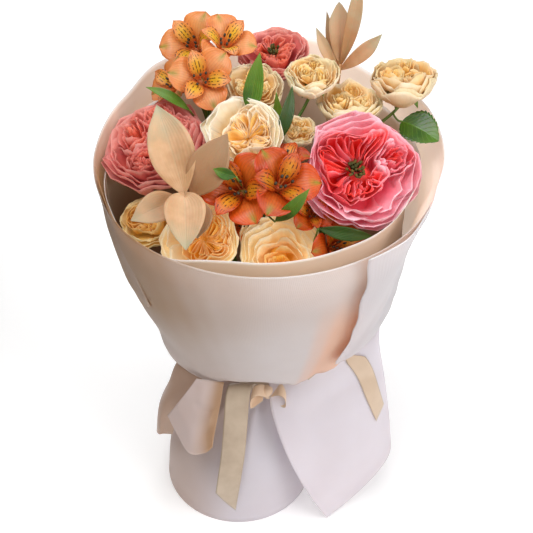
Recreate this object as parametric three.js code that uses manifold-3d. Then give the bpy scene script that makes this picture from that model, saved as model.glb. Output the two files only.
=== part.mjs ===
// A hand-tied bouquet of mixed flowers in its paper wrap, standing on its cut stems and its
// paper skirt. Millimetres, +Z up. The origin is the middle of the skirt's foot, on the cut
// end of the middle stem. The front of the bouquet faces -Y.

import * as THREE from 'three';
import { mergeVertices } from 'three/addons/utils/BufferGeometryUtils.js';
import Module from 'manifold-3d';

const wasm = await Module();
wasm.setup();

// ---- driving dimensions ------------------------------------------------------------------

const PAPER = 1.2;              // wall of a wrapping sheet, thicker than real paper
const PAPER_PITCH = 2.3;        // one sheet to the next where they lie on each other
const PETAL = 0.9;
const LEAF = 1.0;
const SATIN = 1.0;
const SEAT = 0.4;               // gap between pieces that touch

const TIE = { x: 22, y: 0, z: 164, width: 22 };      // the waist, where the ribbon binds
const RIM = { x: 31, y: 8, z: 450 };                 // middle of the opening
const FOOT_RADIUS = 81;         // skirt on the table

const STEM = { rose: 3.0, thin: 2.2, ruscus: 1.8, wire: 1.2 };    // radii
const INNER_RING = 6.6;         // stems round the middle stem at the tie
const OUTER_RING = 12.2;
const TWINE = { inner: 15.4, wall: 1.5, height: 9 };
const NECK = { liner: 17.8, outer: 19.9, drum: 21.5, ribbon: 22.2 };

// ---- small helpers -----------------------------------------------------------------------

const V = (x, y, z) => new THREE.Vector3(x, y, z);
const radians = THREE.MathUtils.degToRad;
const lerp = THREE.MathUtils.lerp;
const clamp = THREE.MathUtils.clamp;
const bezier = (a, b, c, t) => lerp(lerp(a, b, t), lerp(b, c, t), t);
const turned = (angle) => V(Math.cos(radians(angle)), Math.sin(radians(angle)), 0);

/** Height or inset that changes along a list of [place, value] pairs, in straight steps. */
function along(stops, place) {
  const next = stops.findIndex((stop) => stop[0] >= place);
  if (next <= 0) return next === 0 ? stops[0][1] : stops[stops.length - 1][1];
  const [from, to] = [stops[next - 1], stops[next]];
  return lerp(from[1], to[1], (place - from[0]) / (to[0] - from[0]));
}

/** Seeded random numbers from 0 to 1. */
function dice(seed) {
  let state = seed * 2654435761;
  return () => {
    state = (state + 0x6d2b79f5) | 0;
    let t = Math.imul(state ^ (state >>> 15), 1 | state);
    t = (t + Math.imul(t ^ (t >>> 7), 61 | t)) ^ t;
    return ((t ^ (t >>> 14)) >>> 0) / 4294967296;
  };
}

/** Closed solid between two faces, each a function of u and v from 0 to 1. */
function slab(front, back, columns, rows, ring = false) {
  const across = ring ? columns : columns + 1;
  const size = across * (rows + 1);
  const positions = [];
  for (const face of [front, back]) {
    for (let j = 0; j <= rows; j++) {
      for (let i = 0; i < across; i++) positions.push(...face(i / columns, j / rows).toArray());
    }
  }
  const at = (side, i, j) => side * size + j * across + (i % across);
  const index = [];
  const quad = (a, b, c, d) => index.push(a, b, c, a, c, d);
  for (let j = 0; j < rows; j++) {
    for (let i = 0; i < columns; i++) {
      quad(at(0, i, j), at(0, i + 1, j), at(0, i + 1, j + 1), at(0, i, j + 1));
      quad(at(1, i + 1, j + 1), at(1, i + 1, j), at(1, i, j), at(1, i, j + 1));
    }
  }
  for (let i = 0; i < columns; i++) {
    quad(at(0, i + 1, 0), at(0, i, 0), at(1, i, 0), at(1, i + 1, 0));
    quad(at(0, i, rows), at(0, i + 1, rows), at(1, i + 1, rows), at(1, i, rows));
  }
  for (let j = 0; j < rows && !ring; j++) {
    quad(at(0, 0, j), at(0, 0, j + 1), at(1, 0, j + 1), at(1, 0, j));
    quad(at(0, columns, j + 1), at(0, columns, j), at(1, columns, j), at(1, columns, j + 1));
  }
  const geometry = new THREE.BufferGeometry();
  geometry.setAttribute('position', new THREE.Float32BufferAttribute(positions, 3));
  geometry.setIndex(index);
  return geometry;
}

/** A blade of even thickness round a middle surface point(u, v). */
function blade(point, columns, rows, thickness) {
  const step = 0.02;
  const face = (side) => (u, v) => {
    const alongU = point(Math.min(u + step, 1), v).sub(point(Math.max(u - step, 0), v));
    const alongV = point(u, Math.min(v + step, 1)).sub(point(u, Math.max(v - step, 0)));
    const normal = alongU.cross(alongV).normalize();
    return point(u, v).addScaledVector(normal, side * thickness / 2);
  };
  return slab(face(1), face(-1), columns, rows);
}

/** A round stem of even thickness along a curve. A stem that starts on the table ends flat. */
function stalk(extrudePath, radius, steps, sides = 6) {
  const section = new THREE.Shape();
  for (let i = 0; i < sides; i++) {
    const angle = 2 * Math.PI * i / sides;
    const place = [radius * Math.cos(angle), radius * Math.sin(angle)];
    if (i === 0) section.moveTo(...place);
    else section.lineTo(...place);
  }
  const geometry = new THREE.ExtrudeGeometry(section, { steps, bevelEnabled: false, extrudePath });
  const position = geometry.attributes.position;
  const onTable = Math.abs(extrudePath.getPoint(0).z) < 1e-6;
  for (let i = 0; i < position.count && onTable; i++) {
    if (position.getZ(i) < 1) position.setZ(i, 0);
  }
  return geometry;
}

/** A smooth curve from one point to another, leaving and arriving in given directions. */
function bend(from, leave, to, arrive, pull = 0.35) {
  const run = from.distanceTo(to) * pull;
  return new THREE.CubicBezierCurve3(
    from,
    from.clone().addScaledVector(leave.clone().normalize(), run),
    to.clone().addScaledVector(arrive.clone().normalize(), -run),
    to,
  );
}

function solid(geometry) {
  const bare = geometry.clone();
  bare.deleteAttribute('normal');
  bare.deleteAttribute('uv');
  const merged = mergeVertices(bare, 1e-4);
  return new wasm.Manifold(new wasm.Mesh({
    numProp: 3,
    vertProperties: new Float32Array(merged.attributes.position.array),
    triVerts: new Uint32Array(merged.index.array),
  }));
}

/** The triangles of a mesh's largest shell. Sealed hollows and loose scraps are left out. */
function largestShell(corners) {
  const parent = Array.from({ length: Math.max(...corners) + 1 }, (_, i) => i);
  const root = (i) => {
    while (parent[i] !== i) i = parent[i];
    return i;
  };
  for (let i = 0; i < corners.length; i += 3) {
    parent[root(corners[i + 1])] = root(corners[i]);
    parent[root(corners[i + 2])] = root(corners[i]);
  }
  const shells = new Map();
  for (let i = 0; i < corners.length; i += 3) {
    const shell = root(corners[i]);
    if (!shells.has(shell)) shells.set(shell, []);
    shells.get(shell).push(...corners.slice(i, i + 3));
  }
  return [...shells.values()].sort((a, b) => b.length - a.length)[0];
}

/** One body from pieces that run into each other. */
function fuse(pieces) {
  const mesh = pieces.map(solid).reduce((sum, piece) => sum.add(piece)).getMesh();
  const geometry = new THREE.BufferGeometry();
  geometry.setAttribute('position', new THREE.BufferAttribute(mesh.vertProperties, 3));
  geometry.setIndex(largestShell(mesh.triVerts));
  return geometry;
}

// ---- materials ---------------------------------------------------------------------------

const finish = (color, roughness) => new THREE.MeshStandardMaterial({ color, roughness, metalness: 0 });
const MATERIAL = {
  pink: finish('#ee7f90', 0.6),
  coral: finish('#e88578', 0.6),
  cream: finish('#f3deb4', 0.6),
  yellow: finish('#e6b45a', 0.6),
  spray: finish('#f2d5a4', 0.6),
  orangeLight: finish('#ea9a68', 0.5),
  orangeRed: finish('#d2531a', 0.5),
  stem: finish('#55702c', 0.5),
  ruscus: finish('#e3bd92', 0.6),
  paper: finish('#dcd0d2', 0.7),
  liner: finish('#d8c29c', 0.7),
  satin: finish('#cdb894', 0.35),
  twine: finish('#b89b6e', 0.9),
};

const bouquet = new THREE.Group();

function add(name, geometry, material, parent = bouquet) {
  const mesh = new THREE.Mesh(geometry, material);
  mesh.name = name;
  parent.add(mesh);
  return mesh;
}

// ---- the flowers' places -----------------------------------------------------------------
// at: middle of the flower at its widest. lean: [azimuth it leans to, degrees from upright].
// rings: petals in each ring, from the heart outwards. slot: [ring at the tie, azimuth there].

const ROSES = [
  { name: 'rose_pink', at: V(117, -17, 452), across: 106, lean: [-85, 34], color: 'pink',
    rings: [5, 6, 7], slot: [INNER_RING, -20] },
  { name: 'rose_coral_left', at: V(-74, 34, 442), across: 94, lean: [170, 10], color: 'coral',
    rings: [4, 6, 6], slot: [INNER_RING, 160] },
  { name: 'rose_coral_back', at: V(38, 133, 478), across: 66, lean: [-90, 12], color: 'coral',
    rings: [4, 6], slot: [INNER_RING, 100] },
  { name: 'rose_cream_middle', at: V(8, 15, 474), across: 72, lean: [-100, 24], color: 'cream',
    rings: [3, 5, 5], slot: [0, 0] },
  { name: 'rose_cream_left', at: V(-31, -61, 410), across: 70, lean: [-110, 36], color: 'cream',
    rings: [3, 5, 5], slot: [INNER_RING, -140] },
  { name: 'rose_cream_front', at: V(43, -68, 400), across: 76, lean: [-85, 30], color: 'cream',
    rings: [3, 5, 5], slot: [INNER_RING, -80] },
  { name: 'rose_yellow', at: V(-81, -23, 398), across: 54, lean: [-120, 22], color: 'yellow',
    rings: [4, 5], slot: [OUTER_RING, -172] },
];

const SEPALS = 5;
const SPRAY_ROSES = [
  { name: 'spray_rose_1', at: V(19, 81, 475), across: 54, lean: [-90, 18], rings: [4, 5] },
  { name: 'spray_rose_2', at: V(74, 76, 494), across: 48, lean: [-100, 6], rings: [4, 5], sepals: true },
  { name: 'spray_rose_3', at: V(110, 68, 468), across: 60, lean: [100, 4], rings: [4, 5], sepals: true },
  { name: 'spray_rose_4', at: V(161, 74, 492), across: 62, lean: [110, 8], rings: [4, 5], sepals: true },
  { name: 'spray_rose_bud', at: V(61, 36, 458), across: 34, lean: [-90, 10], rings: [4] },
];

const ALSTROEMERIAS = [
  { name: 'alstroemeria_1', at: V(-46, 121, 506), across: 54, lean: [-115, 38], color: 'orangeLight' },
  { name: 'alstroemeria_2', at: V(-6, 108, 514), across: 44, lean: [60, 25], color: 'orangeLight' },
  { name: 'alstroemeria_3', at: V(-27, 68, 500), across: 50, lean: [-110, 42], color: 'orangeLight' },
  { name: 'alstroemeria_4', at: V(-68, 88, 482), across: 44, lean: [165, 50], color: 'orangeLight' },
  { name: 'alstroemeria_5', at: V(5, -50, 460), across: 58, lean: [-110, 40], color: 'orangeRed' },
  { name: 'alstroemeria_6', at: V(46, -50, 468), across: 52, lean: [-65, 34], color: 'orangeRed' },
  { name: 'alstroemeria_7', at: V(51, -3, 463), across: 32, lean: [60, 15], color: 'orangeRed' },
  { name: 'alstroemeria_8', at: V(10, -36, 404), across: 38, lean: [-95, 45], color: 'orangeRed',
    down: 50 },
  { name: 'alstroemeria_9', at: V(97, -62, 402), across: 44, lean: [-50, 45], color: 'orangeRed' },
  { name: 'alstroemeria_10', at: V(73, -44, 424), across: 30, lean: [-80, 30], color: 'orangeRed' },
];

/** Local frame of a flower: its Z axis looks out of the flower's face. */
function flowerFrame({ at, lean: [azimuth, tilt] }) {
  const face = turned(azimuth).multiplyScalar(Math.sin(radians(tilt)));
  face.z = Math.cos(radians(tilt));
  const frame = new THREE.Object3D();
  frame.position.copy(at);
  frame.quaternion.setFromUnitVectors(V(0, 0, 1), face);
  frame.updateMatrix();
  return frame;
}

const placed = (geometry, flower) => geometry.applyMatrix4(flowerFrame(flower).matrix);

// ---- roses -------------------------------------------------------------------------------

const ROSE_BASE = -0.52;        // underside of the flower, in radii below its middle
const HEAD = 0.15;              // the swelling under the petals, in radii
const HEART_SHARE = 0.6;        // room of the closed heart, counted in rings

/** One cupped petal: rooted in the heart, widest halfway, rounded at its corners. */
function rosePetal({ radius, share, top, spin, halfAngle }) {
  const reach = 0.97 * radius * share;
  const root = { out: (0.04 + 0.2 * share) * radius, rise: -0.36 * share * radius };
  return blade((u, v) => {
    const side = 2 * u - 1;
    const height = v * (1 - 0.16 * side * side);
    const angle = spin + side * halfAngle * bezier(0.8, 1.2, 0.8, height);
    const out = bezier(root.out, 1.06 * reach, reach, height) + side * PETAL * 1.3;
    const rise = bezier(root.rise, root.rise - 0.02 * radius, top, height);
    return V(out * Math.cos(angle), out * Math.sin(angle), rise);
  }, 2, 2, PETAL);
}

/** The petals of a rose, ring inside ring, on a small heart that holds their roots. */
function roseFlower({ across, rings }, seed) {
  const radius = across / 2;
  const random = dice(seed);
  const heart = [
    [0, ROSE_BASE], [HEAD, ROSE_BASE], [0.31, -0.4], [0.3, -0.1], [0.16, 0.24], [0, 0.2],
  ].map(([out, rise]) => new THREE.Vector2(out * radius, rise * radius));
  const pieces = [new THREE.LatheGeometry(heart, 5).rotateX(Math.PI / 2)];
  rings.forEach((count, ring) => {
    const share = (ring + 1 + HEART_SHARE) / (rings.length + HEART_SHARE);
    const turn = random();
    for (let i = 0; i < count; i++) {
      pieces.push(rosePetal({
        radius,
        share,
        top: radius * (0.3 - 0.2 * share * share + 0.06 * random()),
        spin: 2 * Math.PI * (i + turn) / count,
        halfAngle: 0.99 * Math.PI / count,
      }));
    }
  });
  return fuse(pieces);
}

/** The green star of pointed sepals under a flower, its tips bent down. */
function sepalStar(flower) {
  const radius = flower.across / 2;
  const star = new THREE.Shape();
  for (let i = 0; i < 2 * SEPALS; i++) {
    const reach = (i % 2 ? 0.14 : 0.62) * radius;
    const angle = Math.PI * (i + 0.3) / SEPALS;
    const corner = [reach * Math.cos(angle), reach * Math.sin(angle)];
    if (i === 0) star.moveTo(...corner);
    else star.lineTo(...corner);
  }
  const geometry = new THREE.ExtrudeGeometry(star, { depth: LEAF, bevelEnabled: false });
  const position = geometry.attributes.position;
  for (let i = 0; i < position.count; i++) {
    const out = Math.hypot(position.getX(i), position.getY(i)) / radius;
    position.setZ(i, position.getZ(i) - LEAF - 2 * SEAT + (ROSE_BASE - 0.25 * out * out) * radius);
  }
  return placed(geometry, flower);
}

const faceOf = (flower) => V(0, 0, 1).transformDirection(flowerFrame(flower).matrix);

/** Where a stem meets the underside of a flower. */
function undersideOf(flower, base) {
  return V(0, 0, base * flower.across / 2 - SEAT).applyMatrix4(flowerFrame(flower).matrix);
}

// ---- stems through the tie ---------------------------------------------------------------

const SPREAD_AT_TABLE = 1.7;    // how far the cut ends spread, against the tie
const ROOT = 3;                 // branches and leaves start this far below the end of a stem
const STRAIGHT = 14;            // stems run straight this far below and above the tie's middle
const UP = V(0, 0, 1);

/** The whole of a stem: cut end on the table, through its place in the tie, then to its end. */
function stemPath([ring, azimuth], end, arrive) {
  const place = turned(azimuth).multiplyScalar(ring);
  const foot = place.clone().multiplyScalar(SPREAD_AT_TABLE);
  const low = place.clone().add(V(TIE.x, TIE.y, TIE.z - STRAIGHT));
  const high = place.clone().add(V(TIE.x, TIE.y, TIE.z + STRAIGHT));
  const path = new THREE.CurvePath();
  path.add(bend(foot, UP, low, UP));
  path.add(new THREE.LineCurve3(low, high));
  path.add(bend(high, UP, end, arrive));
  return path;
}

ROSES.forEach((rose, i) => {
  add(`${rose.name}_flower`, placed(roseFlower(rose, i + 1), rose), MATERIAL[rose.color]);
  const radius = rose.slot[0] === OUTER_RING ? STEM.thin : STEM.rose;
  const path = stemPath(rose.slot, undersideOf(rose, ROSE_BASE), faceOf(rose));
  add(`${rose.name}_stem`, stalk(path, radius, 8), MATERIAL.stem);
});

// ---- leaves ------------------------------------------------------------------------------

/** A leaf from base to tip, folded a little along its rib. hollow: which way its face looks. */
function leaf({ base, tip, width, hollow, fold = 0.12, bend = 0.08, belly = 0.45, rows = 3, teeth = 0 }) {
  const run = tip.clone().sub(base);
  const length = run.length();
  const face = hollow.clone().addScaledVector(run, -hollow.dot(run) / (length * length)).normalize();
  const side = run.clone().normalize().cross(face);
  return blade((u, v) => {
    const s = 2 * u - 1;
    const swell = v < belly ? Math.sin(0.5 * Math.PI * (0.05 + 0.95 * v / belly))
      : Math.cos(0.5 * Math.PI * 0.94 * (v - belly) / (1 - belly));
    const tooth = teeth && Math.round(v * rows) % 2 ? 1 + teeth : 1;
    const half = 0.5 * width * Math.pow(swell, 0.8) * tooth;
    const lift = fold * Math.abs(s) * half + bend * length * Math.sin(Math.PI * v);
    return base.clone().addScaledVector(run, v).addScaledVector(side, -s * half)
      .addScaledVector(face, lift);
  }, 2, rows, LEAF);
}

// ---- spray roses on their branched stems -------------------------------------------------

/** The way from a stem to the underside of a flower. */
const branchPath = (fork, flower, base) => bend(fork, UP, undersideOf(flower, base), faceOf(flower));

/** A point of a stem, so many millimetres back from its end. */
const backAlong = (path, down) => path.getPointAt(1 - down / path.getLength());

const SPRAYS = [
  {
    name: 'spray_stem_back', slot: [OUTER_RING, 71], radius: STEM.thin, fork: V(44, 46, 418),
    flowers: ['spray_rose_1', 'spray_rose_2', 'spray_rose_bud'],
    leaves: [
      { tip: V(40, 52, 492), width: 13, hollow: V(0.2, -1, 0.3), bend: 0.05 },
      { tip: V(21, 50, 522), width: 22, hollow: V(0, -1, 0.2), bend: 0.02, belly: 0.6 },
    ],
  },
  {
    name: 'spray_stem_right', slot: [INNER_RING, 40], radius: STEM.rose, fork: V(112, 50, 420),
    flowers: ['spray_rose_3', 'spray_rose_4'],
    leaves: [
      { on: 'spray_rose_4', tip: V(190, 24, 474), width: 34, hollow: V(0, -0.4, 1), rows: 7,
        teeth: 0.14, belly: 0.4 },
    ],
  },
];

SPRAY_ROSES.forEach((rose, i) => {
  add(rose.name, placed(roseFlower(rose, 20 + i), rose), MATERIAL.spray);
});

for (const { name, slot, radius, fork, flowers, leaves } of SPRAYS) {
  const stem = stemPath(slot, fork, UP);
  const pieces = [stalk(stem, radius, 8)];
  const onStem = leaves.filter((blades) => !blades.on);
  pieces.push(...onStem.map((blades) => leaf({ base: backAlong(stem, ROOT), ...blades })));
  for (const rose of SPRAY_ROSES.filter((flower) => flowers.includes(flower.name))) {
    const path = branchPath(backAlong(stem, ROOT), rose, ROSE_BASE);
    pieces.push(stalk(path, STEM.wire, 2, 5));
    if (rose.sepals) pieces.push(sepalStar(rose));
    const onBranch = leaves.filter((blades) => blades.on === rose.name);
    pieces.push(...onBranch.map((blades) => leaf({ base: path.getPointAt(0.5), ...blades })));
  }
  add(name, fuse(pieces), MATERIAL.stem);
}

// ---- alstroemerias -----------------------------------------------------------------------

const THROAT = -0.95;           // underside of the funnel, in radii below the flower's middle

/** One petal of the funnel: narrow at the throat, then opening outwards. */
function tepal({ radius, spin, root, belly, reach, rise, width, columns }) {
  return blade((u, v) => {
    const side = 2 * u - 1;
    const height = v * (1 - 0.14 * side * side);
    const out = bezier(root, belly, reach, height) * radius;
    const half = width * radius * bezier(0.12, 0.75, 1.1, height) * side;
    const up = bezier(0.85 * THROAT, 0.05, rise, height) * radius;
    return V(out * Math.cos(spin) - half * Math.sin(spin),
      out * Math.sin(spin) + half * Math.cos(spin), up - 0.1 * radius * side * side * v);
  }, columns, 2, PETAL);
}

/** Three broad outer petals and three narrow inner ones round the throat. */
function alstroemeriaFlower({ across }, seed) {
  const radius = across / 2;
  const turn = dice(seed)() * Math.PI;
  const cup = [[0, THROAT], [0.1, THROAT], [0.2, -0.6], [0, -0.42]]
    .map(([out, rise]) => new THREE.Vector2(out * radius, rise * radius));
  const pieces = [new THREE.LatheGeometry(cup, 5).rotateX(Math.PI / 2)];
  for (let i = 0; i < 3; i++) {
    const spin = turn + 2 * Math.PI * i / 3;
    pieces.push(tepal({
      radius, spin, root: 0.12, belly: 0.34, reach: 1.0, rise: 0.02, width: 0.38, columns: 2,
    }));
    const between = spin + Math.PI / 3;
    pieces.push(tepal({
      radius, spin: between, root: 0.05, belly: 0.14, reach: 0.8, rise: 0.34, width: 0.22, columns: 1,
    }));
  }
  return fuse(pieces);
}

ALSTROEMERIAS.forEach((flower, i) => {
  add(`${flower.name}_flower`, placed(alstroemeriaFlower(flower, 40 + i), flower), MATERIAL[flower.color]);
});

const CLUSTERS = [
  {
    name: 'alstroemeria_stem_left', slot: [OUTER_RING, 128], fork: V(-26, 80, 430), flowers: [0, 4],
    leaves: [
      { tip: V(-86, 66, 469), width: 14, hollow: V(0, -0.3, 1), fold: 0.2, bend: 0.15 },
    ],
  },
  {
    name: 'alstroemeria_stem_middle', slot: [OUTER_RING, -110], fork: V(20, -12, 420), flowers: [4, 8],
    leaves: [
      { tip: V(66, -34, 443), width: 14, hollow: V(0.3, -1, 0.8), fold: 0.2 },
      { tip: V(-24, -16, 462), width: 13, hollow: V(0, -1, 0.4), fold: 0.2 },
    ],
  },
  {
    name: 'alstroemeria_stem_right', slot: [OUTER_RING, -50], fork: V(66, -34, 350), flowers: [8, 10],
    leaves: [
      { tip: V(124, -44, 404), width: 16, hollow: V(-0.2, -0.6, 1), fold: 0.2 },
    ],
  },
];

for (const { name, slot, fork, flowers, leaves } of CLUSTERS) {
  const stem = stemPath(slot, fork, UP);
  const pieces = [stalk(stem, STEM.thin, 9)];
  for (const flower of ALSTROEMERIAS.slice(...flowers)) {
    const start = backAlong(stem, flower.down ?? ROOT);
    pieces.push(stalk(branchPath(start, flower, THROAT), STEM.wire, 2, 5));
  }
  pieces.push(...leaves.map((blades) => leaf({ base: backAlong(stem, ROOT), ...blades })));
  add(name, fuse(pieces), MATERIAL.stem);
}

// ---- preserved ruscus --------------------------------------------------------------------

const RUSCUS = [
  {
    name: 'ruscus_spray_left', slot: [OUTER_RING, -142], joint: V(-43, -54, 456),
    elbow: V(-46, -26, 440),
    leaves: [
      { tip: V(-26, -88, 456), width: 24 },
      { tip: V(-69, 12, 508), width: 42 },
      { tip: V(-4, -12, 500), width: 36 },
      { tip: V(-88, -74, 450), width: 28 },
      { tip: V(-41, -100, 434), width: 38, belly: 0.3 },
    ],
    hollow: V(0, -0.65, 0.76),
  },
  {
    name: 'ruscus_spray_back', slot: [OUTER_RING, 53], joint: V(102, 104, 486),
    elbow: V(99, 101, 455),
    leaves: [
      { tip: V(99, 116, 548), width: 19 },
      { tip: V(118, 118, 574), width: 13 },
      { tip: V(140, 101, 522), width: 15 },
      { tip: V(78, 112, 522), width: 10 },
      { tip: V(88, 122, 540), width: 12 },
    ],
    hollow: V(0, -0.9, 0.3),
  },
];

for (const { name, slot, elbow, joint, leaves, hollow } of RUSCUS) {
  const path = stemPath(slot, elbow, joint.clone().sub(elbow));
  path.add(new THREE.LineCurve3(elbow, joint));
  const pieces = [stalk(path, STEM.ruscus, 10)];
  leaves.forEach((blades, i) => {
    const base = joint.clone().lerp(elbow, 0.12 * i);
    pieces.push(leaf({ base, hollow, fold: 0.16, rows: 3, ...blades }));
  });
  add(name, fuse(pieces), MATERIAL.ruscus);
}

// ---- twine round the stems ---------------------------------------------------------------

function twineCoil({ inner, wall, height }) {
  const turns = 2;
  const profile = [new THREE.Vector2(inner, 0)];
  for (let i = 0; i <= 2 * turns; i++) {
    profile.push(new THREE.Vector2(inner + (i % 2 ? wall : 0.6 * wall), height * i / (2 * turns)));
  }
  profile.push(new THREE.Vector2(inner, height), new THREE.Vector2(inner, 0));
  const geometry = new THREE.LatheGeometry(profile, 16);
  return geometry.rotateX(Math.PI / 2).translate(TIE.x, TIE.y, TIE.z - height / 2);
}

add('binding_twine', twineCoil(TWINE), MATERIAL.twine);

// ---- wrapping sheets ---------------------------------------------------------------------
// The sheets share one surface: at each height an oval, wide from side to side. Between the
// levels and between the meridians it runs straight, so sheets that lie on it never cross.

const MERIDIAN = 12;            // degrees from one meridian to the next
const LEVELS = [                // height, half width, depth to the front, depth to the back
  { z: 200, wide: 103, front: 56, back: 42 },
  { z: 290, wide: 131, front: 92, back: 90 },
  { z: 380, wide: 152, front: 128, back: 130 },
  { z: 480, wide: 167, front: 170, back: 168 },
];
const TIE_LEVELS = [148, 178];

function ovalRadius(azimuth, wide, depth) {
  return 1 / Math.hypot(Math.cos(radians(azimuth)) / wide, Math.sin(radians(azimuth)) / depth);
}

/** A knot of the shared surface, moved out by offset (a number or a function of z). */
function knot(azimuth, level, offset) {
  const depth = Math.sin(radians(azimuth)) < 0 ? level.front : level.back;
  const rise = (level.z - LEVELS[0].z) / (RIM.z - LEVELS[0].z);
  const centre = V(lerp(27, RIM.x, rise), lerp(2, RIM.y, rise), level.z);
  return centre.addScaledVector(turned(azimuth), ovalRadius(azimuth, level.wide, depth) + offset);
}

/** A knot close to the tie, on a circle of the given radius. */
function tieKnot(azimuth, z, radius) {
  return V(TIE.x, TIE.y, z).addScaledVector(turned(azimuth), radius);
}

/** A point of the shared surface. neckRadius is where the sheet runs at the tie. */
function sheetPoint(azimuth, z, offset, neckRadius) {
  const rows = [
    ...TIE_LEVELS.map((level) => ({ z: level, place: (a) => tieKnot(a, level, neckRadius) })),
    ...LEVELS.map((level) => ({ z: level.z, place: (a) => knot(a, level, offset) })),
  ];
  const upper = clamp(rows.findIndex((row) => row.z >= z), 1, rows.length - 1);
  const [low, high] = [rows[upper - 1], rows[upper]];
  const share = (z - low.z) / (high.z - low.z);
  const first = Math.floor(azimuth / MERIDIAN) * MERIDIAN;
  const part = (azimuth - first) / MERIDIAN;
  const at = (a) => low.place(a).lerp(high.place(a), share);
  return at(first).lerp(at(first + MERIDIAN), part);
}

/** Heights of one meridian of a sheet: its lower edge, the levels above it, its upper edge. */
function rowHeights(lower, upper, count) {
  const fixed = [...TIE_LEVELS, ...LEVELS.map((level) => level.z)]
    .filter((z) => z > lower + 1 && z < upper - 1);
  const heights = [lower, ...fixed, upper];
  while (heights.length < count + 1) {
    heights.splice(1, 0, lerp(heights[0], heights[1], 0.5));
  }
  return heights;
}

/** Azimuths of a sheet: its two edges and the meridians between them. */
function meridians(from, to) {
  const list = [from];
  for (let a = Math.ceil((from + 1) / MERIDIAN) * MERIDIAN; a < to - 1; a += MERIDIAN) list.push(a);
  return [...list, to];
}

function wrapSheet({ from, to, lower, upper, offset, neckRadius, rows }) {
  const azimuths = meridians(from, to);
  const columns = azimuths.length - 1;
  const face = (wall) => (u, v) => {
    const azimuth = azimuths[Math.round(u * columns)];
    const heights = rowHeights(lower(azimuth), upper(azimuth), rows);
    const z = heights[Math.round(v * rows)];
    return sheetPoint(azimuth, z, offset(azimuth, z) + wall, neckRadius + wall);
  };
  return slab(face(PAPER), face(0), columns, rows);
}

const RIM_HEIGHTS = [
  [-200, 466], [-180, 456], [-150, 448], [-90, 444], [-51, 446], [0, 456], [25, 462], [50, 454],
  [75, 470], [110, 472], [131, 474], [150, 462], [180, 456], [200, 452],
];
const rimHeight = (azimuth) => along(RIM_HEIGHTS, azimuth);

// The front sheet: its sides go under the outer sheet and its lower edge hangs over the tie.
add('wrap_front_sheet', wrapSheet({
  from: -192, to: -24, rows: 3, neckRadius: 0,
  lower: (a) => along([[-192, 236], [-160, 212], [-130, 206], [-50, 204], [-24, 212]], a),
  upper: (a) => rimHeight(a),
  offset: () => 0,
}), MATERIAL.paper);

// The outer sheet: its right panel stands off the front sheet, its back is bound into the
// tie and its left edge folds over the front sheet.
const OUTER_LOWER = [
  [-48, 212], [-36, 206], [-24, 214], [-12, 230], [12, 240], [24, 205], [36, 176], [48, 162],
  [132, 162], [144, 176], [156, 205], [168, 242], [192, 262],
];
const OUTER_STAND_OFF = [[-48, 9], [-20, 1.5], [0, 0], [200, 0]];
add('wrap_outer_sheet', wrapSheet({
  from: -48, to: 192, rows: 5, neckRadius: NECK.outer,
  lower: (a) => along(OUTER_LOWER, a),
  upper: (a) => rimHeight(a) + along([[-48, 14], [-10, 3], [20, 0], [200, -1]], a),
  offset: (a) => PAPER_PITCH + along(OUTER_STAND_OFF, a),
}), MATERIAL.paper);

// The inner sheet holds the stems and the flowers. It lies against the outer sheets at the
// sides and the back and stands clear of them at the front, where its straight edge shows.
const LINER_INSET = [
  [-180, 0.8], [-150, 2], [-130, 8], [-100, 21], [-60, 23], [-20, 17], [10, 10], [60, 3], [100, 0.8],
  [180, 0.8],
];
const LINER_ROWS = [148, 178, 290, 380, 437];
const LINER_STEPS = LINER_ROWS.length - 1;
const CIRCLE = 360 / MERIDIAN;

/** A point of the liner: pleated at the tie, inside the outer sheets above it. */
function linerPoint(azimuth, z, wall) {
  const pleat = Math.round(azimuth / MERIDIAN) % 2 ? 0.5 : -0.5;
  if (z < LEVELS[0].z) return tieKnot(azimuth, z, NECK.liner + pleat + wall);
  const closing = clamp((z - 290) / 147, 0.25, 1);
  const gap = Math.max(0.8, along(LINER_INSET, azimuth) * closing);
  return sheetPoint(azimuth, z, wall - PAPER - gap, 0);
}
const linerFace = (wall) => (u, v) => linerPoint(Math.round(u * CIRCLE) * MERIDIAN - 180,
  LINER_ROWS[Math.round(v * LINER_STEPS)], wall);
add('wrap_inner_sheet', slab(linerFace(PAPER), linerFace(0), CIRCLE, LINER_STEPS, true), MATERIAL.liner);

// ---- paper skirt -------------------------------------------------------------------------

// Height, radius, sideways place of the middle, and depth of the pleats.
const DRUM_PROFILE = [
  [0, FOOT_RADIUS, 0, 0], [58, FOOT_RADIUS - 1, 5, 0], [100, 68, 11, 0.6], [132, 43, 18, 1.4],
  [148, NECK.drum + 0.3, TIE.x, 0.3], [160, NECK.drum, TIE.x, 0.3],
];
const DRUM_STEPS = DRUM_PROFILE.length - 1;
const DRUM_SIDES = 24;
const drumFace = (wall) => (u, v) => {
  const [z, radius, middleX, pleat] = DRUM_PROFILE[Math.round(v * DRUM_STEPS)];
  const fold = Math.round(u * DRUM_SIDES) % 2 ? pleat : -pleat;
  return V(middleX, 0, z).addScaledVector(turned(360 * u), radius + fold + wall);
};
add('skirt_drum', slab(drumFace(0), drumFace(-PAPER), DRUM_SIDES, DRUM_STEPS, true), MATERIAL.paper);

/** The surface through rows of hand-set points: smooth across each row, straight between rows. */
function drapedSurface(rows) {
  const curves = rows.map((row) => new THREE.CatmullRomCurve3(row, false, 'centripetal'));
  return (u, v) => {
    const place = clamp(v * (rows.length - 1), 0, rows.length - 1);
    const first = Math.min(Math.floor(place), rows.length - 2);
    return curves[first].getPoint(u).lerp(curves[first + 1].getPoint(u), place - first);
  };
}

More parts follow.
